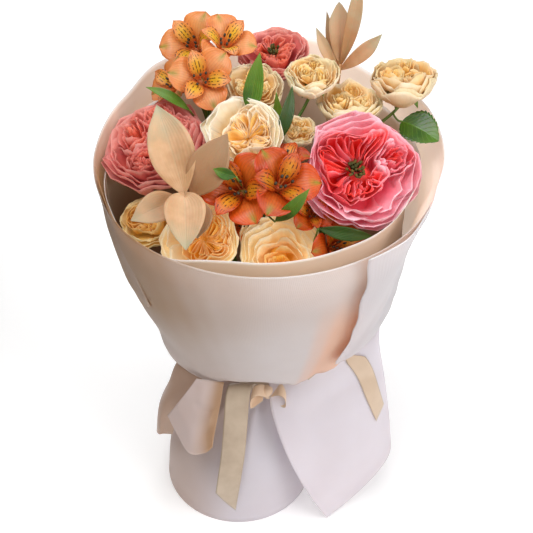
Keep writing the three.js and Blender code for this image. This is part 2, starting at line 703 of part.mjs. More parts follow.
// The right flap hangs from the tie and from inside the outer sheet. Its front corner comes
// down to the table and its right side stands out from the drum.
const FLAP_RIGHT = [
  [V(102, -77, 3), V(124, -56, 8), V(155, -32, 26), V(171, -6, 36), V(166, 34, 34), V(140, 70, 30)],
  [V(80, -82, 52), V(108, -66, 60), V(142, -38, 76), V(166, -4, 84), V(158, 32, 84), V(132, 64, 80)],
  [V(60, -64, 106), V(88, -52, 116), V(124, -30, 132), V(158, 0, 140), V(146, 30, 140), V(118, 54, 136)],
  [V(45, -32, 150), V(72, -29, 168), V(104, -14, 186), V(143, 2, 196), V(128, 24, 192), V(100, 40, 180)],
  [V(38.8, -16.8, 166), V(64, -15, 185), V(98, -4, 204), V(136, 6, 222), V(120, 20, 214), V(92, 30, 200)],
];
const flapRight = drapedSurface(FLAP_RIGHT);
add('skirt_flap_right', blade(flapRight, 7, FLAP_RIGHT.length - 1, PAPER), MATERIAL.paper);

// The left flap: a lapel at the front, folded along its left edge, then the side of the sheet.
const FLAP_LEFT = [
  [V(-22, -84, 112), V(-52, -74, 88), V(-74, -48, 118), V(-90, -18, 66), V(-94, 20, 56), V(-78, 56, 52)],
  [V(-14, -70, 128), V(-46, -62, 118), V(-70, -40, 134), V(-86, -8, 96), V(-86, 22, 92), V(-70, 52, 90)],
  [V(-15, -45, 150), V(-34, -43, 151), V(-54, -32, 158), V(-74, 0, 140), V(-70, 24, 134), V(-54, 44, 132)],
  [V(6.7, -18.2, 166), V(-16, -22, 174), V(-42, -20, 186), V(-62, 2, 176), V(-56, 18, 168), V(-34, 30, 160)],
];
const flapLeft = drapedSurface(FLAP_LEFT);
add('skirt_flap_left', blade(flapLeft, 7, FLAP_LEFT.length - 1, PAPER), MATERIAL.paper);

// ---- ribbon ------------------------------------------------------------------------------

const RIBBON = 25;              // width of the satin ribbon
const bandFace = (wall) => (u, v) => V(TIE.x, TIE.y, TIE.z + (v - 0.5) * TIE.width)
  .addScaledVector(turned(360 * u), NECK.ribbon + wall);
add('ribbon_band', slab(bandFace(SATIN), bandFace(0), DRUM_SIDES, 1, true), MATERIAL.satin);

/** A flat ribbon: points along its middle and, for each, the direction across its width. */
function ribbonRun(points, across, width, steps, cut = 0) {
  const path = new THREE.CatmullRomCurve3(points, false, 'centripetal');
  const sides = new THREE.CatmullRomCurve3(across, false, 'centripetal');
  return blade((u, v) => {
    const side = 2 * u - 1;
    const t = v * (1 - cut * (1 - Math.abs(side)) * v);
    return path.getPoint(t).addScaledVector(sides.getPoint(t).normalize(), side * width / 2);
  }, 2, steps, SATIN);
}

add('ribbon_tail_left', ribbonRun(
  [V(10, -24.4, 158), V(2, -37, 151), V(0, -56, 146), V(-2, -74, 126), V(-6, -88, 90), V(-13, -90, 38)],
  [V(1, 0, 0), V(1, 0, 0), V(1, 0, 0), V(1, 0, 0), V(1, 0.05, 0), V(1, 0.12, 0)], RIBBON, 9, 0.1,
), MATERIAL.satin);

// The right tail lies on the right flap: [place across the flap, place up it] of its middle.
const TAIL_ON_FLAP = [[0.22, 0.87], [0.32, 0.88], [0.41, 0.84], [0.47, 0.74], [0.47, 0.6], [0.47, 0.44]];
const TAIL_HALF = 0.05;         // half the ribbon's width, as a share of the flap's
const TAIL_LIFT = 3.8;          // middle of the ribbon over the middle of the paper
function tailRightPoint(s, t) {
  const middle = new THREE.CatmullRomCurve3(TAIL_ON_FLAP.map(([u, v]) => V(u, v, 0))).getPoint(t);
  const side = (2 * s - 1) * TAIL_HALF;
  const turn = clamp(3 * t - 0.6, 0, 1);
  const [u, v] = [middle.x + side * turn, middle.y - 2.4 * side * (1 - turn)];
  const normal = flapRight(u + 0.02, v).sub(flapRight(u - 0.02, v))
    .cross(flapRight(u, Math.min(v + 0.02, 1)).sub(flapRight(u, v - 0.02))).normalize();
  return flapRight(u, v).addScaledVector(normal, TAIL_LIFT);
}
add('ribbon_tail_right', blade(tailRightPoint, 2, 8, SATIN), MATERIAL.satin);

/** One loop of the bow, from the knot out and back. */
function bowLoop(knotPoint, reach, drop) {
  const out = reach.clone().add(knotPoint);
  const bottom = out.clone().add(V(0, -4, -drop));
  const top = knotPoint.clone().lerp(out, 0.6).add(V(0, 0, 5));
  const points = [knotPoint, top, out, bottom, knotPoint.clone().lerp(bottom, 0.3)];
  const across = points.map(() => V(-0.15, -0.95, -0.25));
  return ribbonRun(points, across, 14, 4);
}
const KNOT = V(33, -30.4, 161);
const bow = fuse([
  new THREE.SphereGeometry(7, 6, 4).scale(1, 1.3, 1).translate(KNOT.x, KNOT.y, KNOT.z),
  bowLoop(KNOT, V(-17, -8, 6), 18),
  bowLoop(KNOT, V(18, -8, 7), 18),
]);
add('ribbon_bow', bow, MATERIAL.satin);

export default bouquet;
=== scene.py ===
# %% [markdown]
# # A hand-tied bouquet in its paper wrap
#
# The bouquet stands on its cut stems and on a round paper skirt. Above the tie, three sheets of
# paper open into a cup that holds seven garden roses, five spray roses, ten alstroemerias and two
# sprays of bleached ruscus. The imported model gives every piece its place. This script gives each
# one its real surface: thin petals in layers, veined leaves, laid paper and woven satin.
#
# The scene is in metres, +Z up, and the front of the bouquet faces -Y. Places and sizes written
# as numbers are mostly in millimetres: `at` and `MM` turn them into metres.

# %% The frame
from math import cos, exp, hypot, pi, radians, sin, sqrt
from random import Random

import bmesh
import bpy
from mathutils import Matrix, Vector, noise


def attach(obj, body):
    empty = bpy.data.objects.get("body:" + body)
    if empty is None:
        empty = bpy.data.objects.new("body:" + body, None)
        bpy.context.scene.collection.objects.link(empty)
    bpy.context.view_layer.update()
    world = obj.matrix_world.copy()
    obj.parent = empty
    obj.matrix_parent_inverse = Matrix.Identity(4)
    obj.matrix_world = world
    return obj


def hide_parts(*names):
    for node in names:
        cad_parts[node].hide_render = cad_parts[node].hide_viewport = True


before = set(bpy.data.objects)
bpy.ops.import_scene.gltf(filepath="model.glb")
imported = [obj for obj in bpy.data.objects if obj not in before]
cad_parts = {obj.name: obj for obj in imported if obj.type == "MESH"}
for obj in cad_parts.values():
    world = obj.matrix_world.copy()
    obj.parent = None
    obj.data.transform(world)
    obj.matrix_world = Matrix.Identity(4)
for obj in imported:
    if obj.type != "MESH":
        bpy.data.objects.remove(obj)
noise.seed_set(4)    # without a seed Blender's noise follows the clock, and no two runs look alike
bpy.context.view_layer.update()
MM = 0.001

# %% [markdown]
# ## Camera and light
#
# The photograph looks down on the bouquet at 44 degrees with a long lens. A long lens is a
# narrow angle of view, so the camera stands well back. Four big soft lights and a white world
# keep the shadows as faint as in a studio.

# %% Camera and light
scene = bpy.context.scene
CAMERA_PLACE = Vector((31, -1000, 1280)) * MM
CAMERA_PITCH = radians(43.97)
FOCAL_PIXELS, FRAME_PIXELS, SENSOR = 1400, 533, 36

camera_data = bpy.data.cameras.new("camera")
camera_data.sensor_width = SENSOR
camera_data.lens = FOCAL_PIXELS / FRAME_PIXELS * SENSOR
camera = bpy.data.objects.new("camera", camera_data)
camera.location = CAMERA_PLACE
camera.rotation_euler = (pi / 2 - CAMERA_PITCH, 0, 0)
scene.collection.objects.link(camera)
scene.camera = camera


def soft_light(name, place, aim, size, watts, color=(1, 1, 1)):
    """A square lamp that looks at a point."""
    data = bpy.data.lights.new(name, "AREA")
    data.size, data.energy, data.color = size, watts, color
    lamp = bpy.data.objects.new(name, data)
    lamp.location = place
    lamp.rotation_euler = (Vector(aim) - Vector(place)).to_track_quat("-Z", "Y").to_euler()
    scene.collection.objects.link(lamp)


soft_light("key_light", (1.3, -0.9, 1.3), (0, 0, 0.3), 1.1, 17, (1, 0.985, 0.98))
soft_light("top_light", (-0.4, -0.25, 2.2), (-0.05, 0, 0), 1.3, 25)
soft_light("front_light", (-0.15, -1.6, 0.35), (0, 0, 0.2), 1.2, 4)
soft_light("back_light", (0.3, 1.4, 1.3), (0, 0, 0.4), 1.2, 8)

world = bpy.data.worlds.new("studio")
world.use_nodes = True
sky = world.node_tree.nodes["Background"].inputs
sky["Color"].default_value, sky["Strength"].default_value = (1, 1, 1, 1), 0.3
scene.world = world
scene.view_settings.view_transform = "Standard"
print("lens", round(camera_data.lens, 1), "mm, camera", round(camera.location.length, 2), "m from the foot")

# %% [markdown]
# ## Writing materials as sums
#
# A material is a small network of nodes. The class below wraps one socket, so that a network
# reads as arithmetic: `1 - rim * 0.5` adds two Math nodes. Colours go through Mix nodes instead,
# because a Math node would turn a colour grey. `Finish` holds one material. It has a single
# method that creates any node, and it mixes up its colour step by step.

# %% Sockets with arithmetic
class Value:
    """An output socket that can be added, multiplied and so on."""

    def __init__(self, finish, socket):
        self.finish, self.socket = finish, socket

    def math(self, operation, *others, flip=False):
        terms = [self, *others]
        return self.finish.node("ShaderNodeMath", {"operation": operation},
                                dict(enumerate(reversed(terms) if flip else terms)))

    def __add__(self, other): return self.math("ADD", other)
    def __sub__(self, other): return self.math("SUBTRACT", other)
    def __mul__(self, other): return self.math("MULTIPLY", other)
    def __radd__(self, other): return self.math("ADD", other, flip=True)
    def __rsub__(self, other): return self.math("SUBTRACT", other, flip=True)
    def abs(self): return self.math("ABSOLUTE")
    def sine(self): return self.math("SINE")
    def clamped(self): return self.math("MINIMUM", 1).math("MAXIMUM", 0)
    def ramp(self, low, high): return ((self - low) * (1 / (high - low))).clamped()


def linear(hex_color):
    """A colour as picked on a screen, turned into the renderer's linear light."""
    channels = [int(hex_color[i:i + 2], 16) / 255 for i in (0, 2, 4)]
    return tuple(c / 12.92 if c <= 0.04045 else ((c + 0.055) / 1.055) ** 2.4 for c in channels) + (1,)


print("mid grey in linear light:", round(linear("808080")[0], 3))


# %% Finishes
class Finish:
    """One material under construction."""

    def __init__(self, name, roughness=0.5, **constants):
        self.material = bpy.data.materials.new(name)
        self.material.use_nodes = True
        self.tree = self.material.node_tree
        self.shader = self.tree.nodes["Principled BSDF"]
        self.shader.inputs["Roughness"].default_value = roughness
        for socket, value in constants.items():
            self.shader.inputs[socket.replace("_", " ")].default_value = value

    def node(self, kind, settings, inputs, output=0):
        made = self.tree.nodes.new(kind)
        for name, value in settings.items():
            setattr(made, name, value)
        for key, value in inputs.items():
            if isinstance(value, Value):
                self.tree.links.new(value.socket, made.inputs[key])
            else:
                made.inputs[key].default_value = value
        return Value(self, made.outputs[output])

    def mark(self, name):
        """A number that was written on the mesh, such as a point's place along its petal."""
        return self.node("ShaderNodeAttribute", {"attribute_name": name}, {}, "Fac")

    def spot(self, x, y, z):
        return self.node("ShaderNodeCombineXYZ", {}, {0: x, 1: y, 2: z})

    def place(self):
        return self.node("ShaderNodeTexCoord", {}, {}, "Object")

    def noise(self, vector, scale, detail):
        return self.node("ShaderNodeTexNoise", {}, {"Vector": vector, "Scale": scale, "Detail": detail})

    def mix(self, factor, first, second):
        return self.node("ShaderNodeMix", {"data_type": "RGBA"}, {0: factor, 6: first, 7: second}, 2)

    def blend(self, factor, first, second):
        """Starts the colour as something between two colours."""
        self.color = self.mix(factor, linear(first), linear(second))

    def tint(self, factor, hex_color):
        """Covers the colour with another, fully where the factor is 1."""
        self.color = self.mix(factor, self.color, linear(hex_color))

    def give(self, socket, value):
        self.tree.links.new(value.socket, self.shader.inputs[socket])

    def bump(self, height, strength, distance):
        self.give("Normal", self.node("ShaderNodeBump", {}, {
            "Height": height, "Strength": strength, "Distance": distance}))

    def wear(self, glows=True):
        """Gives the colour to the surface, and to the faint glow that stands for light coming through."""
        self.give("Base Color", self.color)
        if glows:
            self.give("Emission Color", self.color)


# %% [markdown]
# ## Bending a grid
#
# Petals, leaves, paper and ribbon are all thin sheets. Each starts as a flat grid from
# `bmesh.ops.create_grid`, and every point of it is then moved to where a rule `place(u, v)`
# says. A bevelled curve would also do for a leaf, but a grid bends both ways and keeps u and v
# as named marks on its points. The materials use these for veins, rims and laid lines that
# follow the sheet. A Solidify modifier gives it its thickness.

# %% Grids and tubes
MARKS = ("across", "along", "depth", "chance")


def new_mesh():
    bm = bmesh.new()
    for name in MARKS:
        bm.verts.layers.float.new(name)
    return bm


def grow(bm, columns, rows, place, material=0, **marks):
    """A grid of quads bent to place(u, v). A mark is a number or a rule of (u, v)."""
    first_face = len(bm.faces)
    verts = bmesh.ops.create_grid(bm, x_segments=columns, y_segments=rows, size=1)["verts"]
    across, along = bm.verts.layers.float["across"], bm.verts.layers.float["along"]
    for vert in verts:
        u, v = (vert.co.x + 1) / 2, (vert.co.y + 1) / 2
        vert.co = place(u, v)
        vert[across], vert[along] = u, v
        for name, value in marks.items():
            vert[bm.verts.layers.float[name]] = value(u, v) if callable(value) else value
    bm.faces.ensure_lookup_table()
    for face in bm.faces[first_face:]:
        face.material_index = material
    return verts


def tube(bm, path, radius, sides=8, steps=12, material=0, **marks):
    """A round rod along path(t). radius is a number or a function of t."""
    thick = radius if callable(radius) else (lambda t: radius)
    side = Vector((0.31, 0.95, 0.02))

    def place(u, v):
        step = 0.01
        ahead = path(min(v + step, 1)) - path(max(v - step, 0))
        across = ahead.cross(side).normalized()
        other = ahead.cross(across).normalized()
        angle = 2 * pi * u
        return path(v) + thick(v) * (cos(angle) * across + sin(angle) * other)

    verts = grow(bm, sides, steps, place, material, **marks)
    bmesh.ops.remove_doubles(bm, verts=verts, dist=1e-6)
    edges = {edge for vert in verts if vert.is_valid for edge in vert.link_edges if edge.is_boundary}
    caps = bmesh.ops.holes_fill(bm, edges=list(edges), sides=sides)["faces"]
    for face in caps:
        face.material_index = material


print("marks on every mesh:", ", ".join(MARKS))


# %% Finished objects
def shown(name, bm, finishes):
    """Turns the bmesh into a smooth-shaded object with its materials."""
    mesh = bpy.data.meshes.new(name)
    bm.to_mesh(mesh)
    bm.free()
    for polygon in mesh.polygons:
        polygon.use_smooth = True
    obj = bpy.data.objects.new(name, mesh)
    scene.collection.objects.link(obj)
    for finish in finishes:
        mesh.materials.append(finish.material)
    return obj


def finished(name, bm, finishes, node, thickness=0.0, back=0):
    """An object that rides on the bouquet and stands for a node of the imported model."""
    obj = shown(name, bm, finishes)
    if thickness:
        wall = obj.modifiers.new("thickness", "SOLIDIFY")
        wall.thickness, wall.offset, wall.material_offset = thickness, 0, back
    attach(obj, "root")
    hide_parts(node)


# %% Curves and places
def lerp(a, b, t): return a + (b - a) * t
def bezier(a, b, c, t): return lerp(lerp(a, b, t), lerp(b, c, t), t)
def clamp(x, low=0.0, high=1.0): return max(low, min(high, x))
def smooth(x, low, high):
    t = clamp((x - low) / (high - low))
    return t * t * (3 - 2 * t)
def at(x, y, z): return Vector((x, y, z)) * MM
def turned(azimuth): return Vector((cos(radians(azimuth)), sin(radians(azimuth)), 0))


def spline(points, place):
    """A smooth curve through points. Place 1.5 is halfway from points[1] to points[2], and past
    the ends the curve runs on straight."""
    i = min(max(int(place), 0), len(points) - 2)
    s, p1, p2 = place - i, points[i], points[i + 1]
    if not 0 <= s <= 1:
        return p1 + (p2 - p1) * s
    p0 = points[i - 1] if i else p1 * 2 - p2
    p3 = points[i + 2] if i + 2 < len(points) else p2 * 2 - p1
    return 0.5 * (2 * p1 + (p2 - p0) * s + (2 * p0 - 5 * p1 + 4 * p2 - p3) * s ** 2
                  + (3 * p1 - p0 - 3 * p2 + p3) * s ** 3)


def curve_through(points, t): return spline(points, clamp(t) * (len(points) - 1))


def stops(*pairs):
    """A function of place that runs smoothly through (place, value) pairs."""
    def value(place):
        if place <= pairs[0][0]:
            return pairs[0][1]
        for (p, a), (q, b) in zip(pairs, pairs[1:]):
            if place <= q:
                return lerp(a, b, smooth(place, p, q))
        return pairs[-1][1]

    return value


print("halfway along a smooth curve through 0, 1 and 4:", curve_through([0, 1, 4], 0.5))

# %% [markdown]
# ## Floor and dark card
#
# The floor glows a little, which keeps it nearly white. A dark card that the camera doesn't see
# stands at the left and darkens that side of the bouquet.

# %% Floor and dark card
def studio_piece(name, corners, finish):
    """A flat piece of the studio, which isn't part of the bouquet."""
    bm = new_mesh()
    bm.faces.new([bm.verts.new(corner) for corner in corners])
    piece = shown(name, bm, [finish])
    return piece


FLOOR = 3.0          # half the side of the floor, in metres
studio_piece("floor", [(-FLOOR, -FLOOR, 0), (FLOOR, -FLOOR, 0), (FLOOR, FLOOR, 0), (-FLOOR, FLOOR, 0)],
             Finish("pale_floor", 0.9, Base_Color=(0.94, 0.94, 0.94, 1), Emission_Color=(1, 1, 1, 1),
                    Emission_Strength=0.26))
card = studio_piece("dark_card", [(-0.5, -0.9, 0), (-0.5, 0.4, 0), (-0.5, 0.4, 0.8), (-0.5, -0.9, 0.8)],
                    Finish("dark_card", 1.0, Base_Color=(0.05, 0.035, 0.025, 1)))
card.visible_camera = False
print("studio pieces: floor and dark card")

# %% [markdown]
# ## What a petal's skin looks like
#
# A rose petal is matt and a little translucent, so light glows through it. Its colour runs from
# a deep heart to a paler outer petal, and each petal has a paler rim and fine veins that fan out
# along it. A painted picture could hold all this for one petal. Marks on the mesh do it for
# every petal with one network: `depth` says how far out in the flower a petal stands, and
# `along` how far up the petal a point lies.

# %% Petal finishes
GLOW = 0.05          # stands for the light that comes through a thin petal
LOW_GLOW = 0.13      # a stronger glow for flowers that stand low at the front: painted light


def petal_finish(name, deep, heart, body, rim, rim_start, blush=None, glow=GLOW, rim_from=0.15):
    skin = Finish(name, 0.5, Sheen_Weight=0.1, Subsurface_Weight=0.2, Subsurface_Scale=0.004,
                  Subsurface_Radius=(1.0, 0.65, 0.5), Emission_Strength=glow)
    along, depth, chance = skin.mark("along"), skin.mark("depth"), skin.mark("chance")
    cloud = skin.noise(skin.place(), 60, 3)
    out = (depth + (cloud - 0.5) * 0.5 + (chance - 0.5) * 0.3).clamped()
    skin.blend(out.ramp(0.35, 0.98), heart, body)
    # Deeper colour towards the foot of each petal, most on the inner petals: partly the rose's own colour,
    # partly painted shade where the petals close together.
    skin.tint((1 - along + (0.9 - out) * 0.25).ramp(0.25, 0.9) * (1.2 - out).clamped(), deep)
    edge = (along + (cloud - 0.5) * 0.3 + (out - 0.5) * 0.12).ramp(rim_start, 1.05)
    skin.tint(edge * (0.1 + out.ramp(rim_from, 0.95) * 0.8), rim)
    if blush:
        skin.tint((chance - 0.6).ramp(0, 0.05) * along.ramp(0.5, 1) * 0.4, blush)
    veins = skin.noise(skin.spot(skin.mark("across") * 30, along * 2.2, chance * 40), 1.0, 3)
    skin.tint((veins - 0.5).ramp(0.02, 0.3) * 0.2, deep)
    skin.wear()
    skin.bump(veins + cloud * 0.6, 0.3, 0.0006)
    return skin


PETALS = {
    "pink": petal_finish("pink_petal", "d81006", "ff2c14", "fc7490", "ffd0da", 0.5, rim_from=0.5),
    "coral": petal_finish("coral_petal", "9c2012", "f26a48", "cc5c66", "f2a094", 0.6),
    "cream": petal_finish("cream_petal", "c87c08", "f6b53c", "fdf0c8", "fff8e8", 0.55),
    "warm_cream": petal_finish("warm_cream_petal", "c87c08", "f8b02c", "ffe2a4", "fff0cc", 0.55,
                               glow=LOW_GLOW),
    "yellow": petal_finish("yellow_petal", "b06a04", "e29a18", "f2c664", "f8e4b0", 0.6),
    "spray": petal_finish("spray_petal", "cc8010", "f8c45c", "f3d0a2", "fdf2d4", 0.62, "d8c682"),
    "warm_spray": petal_finish("warm_spray_petal", "c07408", "f2b44c", "e6bd88", "f4e2c0", 0.62,
                               "d0b870"),
}
print("petal finishes:", ", ".join(PETALS))

# %% [markdown]
# ## Garden roses
#
# A garden rose isn't a plain spiral. Broad petals stand round it like a bowl, and inside them
# the small petals are folded into packets, each a nest of U shapes with the open end towards
# the middle. Every petal is one bent grid between two lines on the ground: the small `foot`
# where it is rooted, and the `outline` that its top edge follows. Between them it bulges,
# and near its edge it rolls out and ruffles. Petals could be sculpted one by one instead, but
# a rule needs only a few numbers for a whole ring, and random draws keep any two from being alike.

# %% The place of a flower
def flower_frame(spec):
    """Matrix of a flower. Its Z axis looks out of the face."""
    azimuth, tilt = spec["lean"]
    face = turned(azimuth) * sin(radians(tilt)) + Vector((0, 0, cos(radians(tilt))))
    turn = Vector((0, 0, 1)).rotation_difference(face)
    return Matrix.Translation(at(*spec["at"])) @ turn.to_matrix().to_4x4()


def face_of(spec): return flower_frame(spec).to_3x3() @ Vector((0, 0, 1))
def underside_of(spec, base):
    return flower_frame(spec) @ Vector((0, 0, (base * spec["across"] / 2 - 0.4) * MM))


# %% One petal
def uneven(point, radius):
    """Pushes a point of a flower about. Neighbours move alike, so petals keep their order."""
    slow, quick = noise.noise_vector(point * (1.9 / radius)), noise.noise_vector(point * (4.6 / radius))
    return point + (slow * 0.17 + quick * 0.06) * radius


def petal(bm, flower, radius, dice, outline, foot, *, lift, root=-0.45, bulge=1.1, belly=0.1,
          corner=0.2, dip=0.0, roll=0.0, ruffle=0.0, waves=3.0, depth=1.0, columns=10):
    """A petal between foot(s) and outline(s), s from -1 to 1. Lengths are in flower radii."""
    phase, phase_2, tilt = dice.uniform(0, 6.3), dice.uniform(0, 6.3), dice.uniform(-0.04, 0.04)

    def place(u, v):
        s = 2 * u - 1
        up = v * (1 - corner * s ** 2 - 0.1 * s ** 6)
        low, high = foot(s), outline(s)
        outward = (outline(s * 0.98) - foot(s)).normalized()
        local = low + (high - low) * bezier(0, bulge, 1, up)
        local.z = bezier(root, lerp(root, lift, belly), lift, up)
        curl, edge = smooth(up, 0.55, 1.0), up ** 3 * (0.35 + 0.65 * abs(s))
        wave = ruffle * edge * sin(waves * pi * s + phase)
        local += outward * (roll * curl + wave)
        local.z += 0.6 * ruffle * edge * sin(1.7 * waves * pi * s + phase_2)
        local.z += tilt * s * up - 0.6 * abs(roll) * curl ** 2 - dip * s ** 2 * up
        return uneven(flower @ (local * radius), radius)

    grow(bm, columns, 8, place, depth=depth, chance=dice.random())


# %% Rings of broad petals
def whorl(bm, flower, radius, dice, count, spread, lift, eye, **shape):
    """Broad petals side by side round the flower, each a little different from the next."""
    turn = dice.uniform(0, 360)
    half = 180 / count * 1.3
    for i in range(count):
        spin = turn + 360 * i / count + dice.uniform(-6, 6)
        reach = spread * dice.uniform(0.97, 1.0)
        centre = Vector((*eye, 0)) * (1 - spread)
        wide = half * dice.uniform(0.9, 1.1)
        petal(bm, flower, radius, dice,
              lambda s: centre + turned(spin + wide * s) * reach,
              lambda s: centre * 0.5 + turned(spin + wide * s) * 0.12,
              lift=lift + dice.uniform(-0.03, 0.03), **shape)


# %% Packets of folded petals
ARC = 0.5            # the share of a U that is its round end


def fan(bm, flower, radius, dice, eye, azimuth, width, nest, inner, reach, lift, depth, ruffle, waves):
    """A nest of U-shaped petals, closed on the outside and open to the middle of the flower."""
    forward, sideways = turned(azimuth), turned(azimuth + 90)
    centre = Vector((*eye, 0))
    for k in range(nest):
        share = (k + 1 - 0.4 * dice.random()) / nest
        bend_at, round_off = lerp(inner, reach, 0.55), (reach - lerp(inner, reach, 0.55)) * share
        skew, half_width = dice.uniform(-0.12, 0.12) * width, width * share

        def outline(s, bend_at=bend_at, round_off=round_off, skew=skew, half_width=half_width):
            t, sign = abs(s), (1 if s >= 0 else -1)
            if t < ARC:
                angle = t / ARC * pi / 2
                out, side = bend_at + round_off * cos(angle), half_width * sin(angle)
            else:
                q = (t - ARC) / (1 - ARC)
                out, side = lerp(bend_at, inner, q), half_width * lerp(1, 0.3, q)
            return centre + forward * out + sideways * (sign * side + skew * out / reach)

        own = centre + forward * lerp(inner, reach, 0.45)
        petal(bm, flower, radius, dice, outline,
              lambda s, line=outline: centre + (own - centre) * 0.6 + (line(s) - own) * 0.3,
              lift=lift - 0.07 * share + dice.uniform(-0.04, 0.04), depth=depth * (0.35 + 0.65 * share),
              root=-0.3, corner=0.1, bulge=0.9, dip=0.14, ruffle=ruffle, waves=waves, columns=26)


# %% Rosettes, heart and stamens
def rosette(bm, flower, radius, dice, place, size, layers, lift, depth, ruffle):
    """A small rose within the rose: whorls round a centre of its own."""
    centre = Vector((*place, 0))
    for k in range(layers):
        share = (k + 0.7) / layers
        turn, count = dice.uniform(0, 360), 4 if k > 1 else 3
        for i in range(count):
            spin = turn + 360 * i / count + dice.uniform(-10, 10)
            half = dice.uniform(62, 84) - 8 * k
            reach = size * share * dice.uniform(0.92, 1.06)
            petal(bm, flower, radius, dice,
                  lambda s: centre + turned(spin + half * s) * reach,
                  lambda s: centre * 0.55 + turned(spin + half * s) * reach * 0.35,
                  lift=lift - 0.05 * share + dice.uniform(-0.03, 0.03),
                  depth=depth * (0.4 + 0.6 * share), root=-0.3, bulge=1.0, columns=14, ruffle=ruffle)


def heart_of(bm, flower, radius):
    """The swelling that carries the petals."""
    tube(bm, lambda t: flower @ (Vector((0, 0, lerp(ROSE_BASE, -0.1, t))) * radius),
         lambda t: radius * 0.24 * (0.4 + 0.6 * sin(pi * clamp(t, 0.05, 0.9))), 10, 6, depth=0.0)


def stamens(bm, flower, radius, dice, count, spread, lift):
    """Short threads with thick ends in the hollow middle of an open rose."""
    for _ in range(count):
        azimuth, out = dice.uniform(0, 360), spread * sqrt(dice.random())
        top = turned(azimuth) * out + Vector((0, 0, lift * dice.uniform(0.75, 1.1)))
        low = turned(azimuth) * out * 0.3 + Vector((0, 0, -0.2))
        tube(bm, lambda t: flower @ (low.lerp(top, t) * radius),
             lambda t: radius * (0.012 + 0.014 * smooth(t, 0.75, 0.9)), 5, 6, 1, chance=dice.random())


# %% Roses of each kind
def rings(*rows):
    """Whorls from the outside in, a row of numbers each. A dict at the end of a row adds to it."""
    names = ("count", "spread", "lift", "roll", "ruffle", "depth", "waves")
    return [dict(zip(names, row)) | (row[7] if len(row) > 7 else {}) for row in rows]


# A packet is (azimuth, width, petals), and "fans" says how all packets of a rose are shaped:
# (inner, reach, lift, depth, ruffle, waves). A rosette is (place, size, layers, lift, depth, ruffle).
OUTER_BOWL = rings((5, 1.0, -0.04, 0.05, 0.03, 1.0, 1.5, dict(bulge=1.14)),
                   (5, 0.93, 0.08, 0.06, 0.035, 0.97, 1.5), (5, 0.85, 0.16, 0.06, 0.04, 0.92, 2))
PINK_ROSE = {
    "whorls": OUTER_BOWL + rings((6, 0.76, 0.22, 0.05, 0.06, 0.84, 2.5)),
    "packets": [(62, 0.26, 3), (96, 0.3, 3), (136, 0.26, 2), (172, 0.24, 3), (206, 0.26, 2),
                (252, 0.34, 3), (292, 0.34, 3), (336, 0.22, 2)],
    "fans": (0.17, 0.7, 0.28, 0.62, 0.06, 4),
    "rosettes": [((0.56, 0.2), 0.27, 4, 0.27, 0.85, 0.05)],
    "stamens": (34, 0.17, 0.08),
}
CORAL_ROSE = {
    "whorls": OUTER_BOWL + rings((6, 0.8, 0.22, 0.04, 0.05, 0.8, 4)),
    "rosettes": [((-0.18, -0.42), 0.36, 5, 0.26, 0.75, 0.04), ((0.45, 0.12), 0.38, 5, 0.27, 0.8, 0.05),
                 ((-0.38, 0.2), 0.36, 4, 0.26, 0.7, 0.06), ((0.06, 0.48), 0.34, 4, 0.27, 0.7, 0.06),
                 ((0.3, -0.42), 0.3, 4, 0.25, 0.7, 0.05)],
    "stamens": (12, 0.1, 0.26),
}
OPEN_CORAL = {
    "whorls": OUTER_BOWL + rings((7, 0.76, 0.22, 0.05, 0.05, 0.8, 4)),
    "packets": [(10, 0.26, 3), (62, 0.3, 2), (110, 0.26, 3), (165, 0.3, 2), (214, 0.26, 3), (262, 0.26, 3),
                (312, 0.3, 2)],
    "fans": (0.2, 0.66, 0.26, 0.62, 0.06, 4),
    "stamens": (26, 0.2, 0.22),
}
print("petals in the widest ring:", max(ring["count"] for ring in OPEN_CORAL["whorls"]))

# %% Cream and spray roses
CREAM_BOWL = rings((5, 1.0, -0.02, 0.04, 0.02, 1.0, 1.2, dict(bulge=1.16)),
                   (5, 0.92, 0.1, 0.06, 0.025, 1.0, 1.2), (5, 0.82, 0.18, 0.06, 0.03, 0.95, 1.5))
CREAM_ROSE = {
    "whorls": CREAM_BOWL,
    "packets": [(8, 0.3, 4), (46, 0.36, 4), (88, 0.24, 3), (112, 0.22, 2), (152, 0.42, 2), (206, 0.4, 2),
                (256, 0.34, 3), (312, 0.34, 4)],
    "fans": (0.07, 0.72, 0.28, 0.6, 0.035, 2.5),
}
SWIRLED_ROSE = {
    "whorls": CREAM_BOWL + rings(
        (4, 0.72, 0.24, 0.05, 0.035, 0.9, 1.5), (3, 0.6, 0.28, 0.04, 0.04, 0.74, 2),
        (3, 0.48, 0.29, 0.03, 0.04, 0.6, 2), (3, 0.36, 0.28, 0.0, 0.04, 0.45, 2)),
    "packets": [(40, 0.14, 2), (85, 0.16, 3), (130, 0.14, 2), (200, 0.14, 2), (330, 0.14, 2)],
    "fans": (0.03, 0.3, 0.24, 0.3, 0.03, 2),
}
SPRAY_ROSE = {
    "whorls": rings((5, 0.97, 0.1, 0.04, 0.035, 1.0, 4, dict(root=-0.75, bulge=1.25, belly=0.3)),
                    (6, 0.94, 0.17, 0.04, 0.035, 0.95, 4, dict(root=-0.7, bulge=1.2)),
                    (6, 0.86, 0.22, 0.03, 0.035, 0.85, 4), (5, 0.76, 0.26, 0.02, 0.03, 0.6, 4)),
    "rosettes": [((-0.3, -0.1), 0.4, 5, 0.28, 0.6, 0.03), ((0.34, -0.16), 0.36, 5, 0.28, 0.6, 0.03),
                 ((0.1, 0.38), 0.34, 3, 0.27, 0.5, 0.04)],
}
print("packets: cream rose", len(CREAM_ROSE["packets"]), "and swirled rose", len(SWIRLED_ROSE["packets"]))

# %% The roses of this bouquet
def table(columns, rows):
    """A dict of dicts from rows, each a key and its values."""
    return {key: dict(zip(columns.split(), values)) for key, *values in rows}


